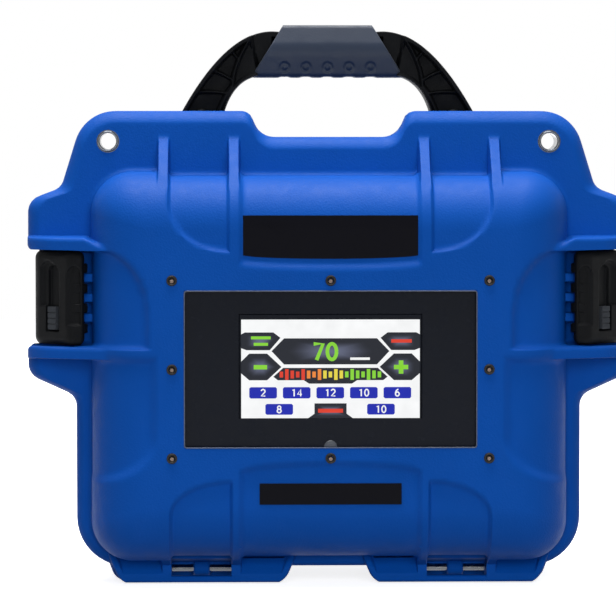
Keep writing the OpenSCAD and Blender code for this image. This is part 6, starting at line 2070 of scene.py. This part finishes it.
@dataclass
class Studio:
    """The floor, the lights and the camera."""

    scale_mm: float = 0.5288
    distance_mm: float = 2000.0
    elevation_deg: float = 2.5
    azimuth_deg: float = -1.5
    pixels: int = 616
    centre_px: Pair = (328.9, 309.3)
    target_z: float = 145.2
    sensor_mm: float = 36.0
    clip_m: Pair = (0.05, 20.0)
    floor_m: float = 3.0
    lamps: tuple[Lamp, ...] = (
        Lamp("key_softbox", (-0.12, -0.06, 1.65), (0.0, -0.03, 0.16), 1.1, 45.0),
        Lamp("fill_softbox", (0.1, -2.2, 0.55), (0.0, -0.03, 0.14), 1.2, 29.0, False),
        Lamp("back_softbox", (0.5, 2.2, 0.7), (0.0, 0.05, 0.12), 1.2, 20.0, False))

    def build(self) -> None:
        """Sets the stage."""
        bpy.context.scene.view_settings.view_transform = "Standard"
        self._world()
        self._floor()
        for lamp in self.lamps:
            lamp.build()
        self._camera()

    @staticmethod
    def _seen(tree: Tree) -> Socket:
        """Adds the nodes that tell the rays which show the background.

        They are the camera's own rays, glossy ones and those through glass.

        Args:
            tree: The node tree.

        Returns:
            The socket, 1 for such a ray.
        """
        path = add_node(tree, "LightPath")
        shown = add_node(tree, "Math", {"operation": "MAXIMUM"}, i0=path.outputs["Is Camera Ray"],
                         i1=path.outputs["Is Glossy Ray"]).outputs["Value"]
        return add_node(tree, "Math", {"operation": "MAXIMUM"}, i0=shown,
                        i1=path.outputs["Is Transmission Ray"]).outputs["Value"]

    def _world(self) -> None:
        """White where the background shows, and a soft grey light otherwise."""
        world = bpy.data.worlds.new("studio")
        bpy.context.scene.world = world
        tree = fresh_tree(world)
        soft = add_node(tree, "Background", Color=(0.9, 0.94, 1.0, 1.0), Strength=0.12).outputs["Background"]
        white = add_node(tree, "Background", Color=(1.0, 1.0, 1.0, 1.0), Strength=1.0).outputs["Background"]
        mixed = add_node(tree, "MixShader", i0=self._seen(tree), i1=soft, i2=white).outputs["Shader"]
        add_node(tree, "OutputWorld", Surface=mixed)

    def _floor(self) -> None:
        """A pale floor, near white where it shows, which keeps a soft shadow of the object."""
        mesh = bpy.data.meshes.new("floor")
        r = self.floor_m
        mesh.from_pydata([(-r, -r, 0), (r, -r, 0), (r, r, 0), (-r, r, 0)], [], [(0, 1, 2, 3)])
        floor = bpy.data.objects.new("floor", mesh)
        bpy.context.scene.collection.objects.link(floor)
        made = bpy.data.materials.new("pale_floor")
        tree = fresh_tree(made)
        pale = add_node(tree, "BsdfDiffuse", Color=(0.14, 0.145, 0.15, 1.0)).outputs["BSDF"]
        lit = add_node(tree, "BsdfDiffuse", Color=(0.9, 0.9, 0.9, 1.0)).outputs["BSDF"]
        glow = add_node(tree, "Emission", Color=(1.0, 1.0, 1.0, 1.0), Strength=0.82).outputs["Emission"]
        bright = add_node(tree, "AddShader", i0=lit, i1=glow).outputs["Shader"]
        mixed = add_node(tree, "MixShader", i0=self._seen(tree), i1=pale, i2=bright).outputs["Shader"]
        add_node(tree, "OutputMaterial", Surface=mixed)
        mesh.materials.append(made)

    def _camera(self) -> None:
        """A long lens that looks a little down at the flange, shifted to place the object in the picture."""
        data = bpy.data.cameras.new("camera")
        data.sensor_width = self.sensor_mm
        data.lens = self.distance_mm / self.scale_mm * self.sensor_mm / self.pixels
        data.shift_x = (self.pixels / 2 - self.centre_px[0]) / self.pixels
        data.shift_y = (self.centre_px[1] - self.pixels / 2) / self.pixels
        data.clip_start, data.clip_end = self.clip_m
        camera = bpy.data.objects.new("camera", data)
        tilt, turn = math.radians(self.elevation_deg), math.radians(self.azimuth_deg)
        target = Vector((0.0, CASE.lid_flange_y, self.target_z)) * MM
        back = Vector((math.sin(turn) * math.cos(tilt), -math.cos(turn) * math.cos(tilt), math.sin(tilt)))
        camera.location = target + back * self.distance_mm * MM
        camera.rotation_euler = (-back).to_track_quat("-Z", "Y").to_euler()
        bpy.context.scene.collection.objects.link(camera)
        bpy.context.scene.camera = camera


def main() -> None:
    """Builds the pieces in order, then the stage."""
    logging.basicConfig(level=logging.INFO, format="%(message)s")
    Lid().build()
    Base().build()
    Handle().build()
    Latch(Side.LEFT).build()
    Latch(Side.RIGHT).build()
    Panel().build()
    Eyelets().build()
    CarriedNodes().build()
    Studio().build()


if __name__ == "__main__":
    main()
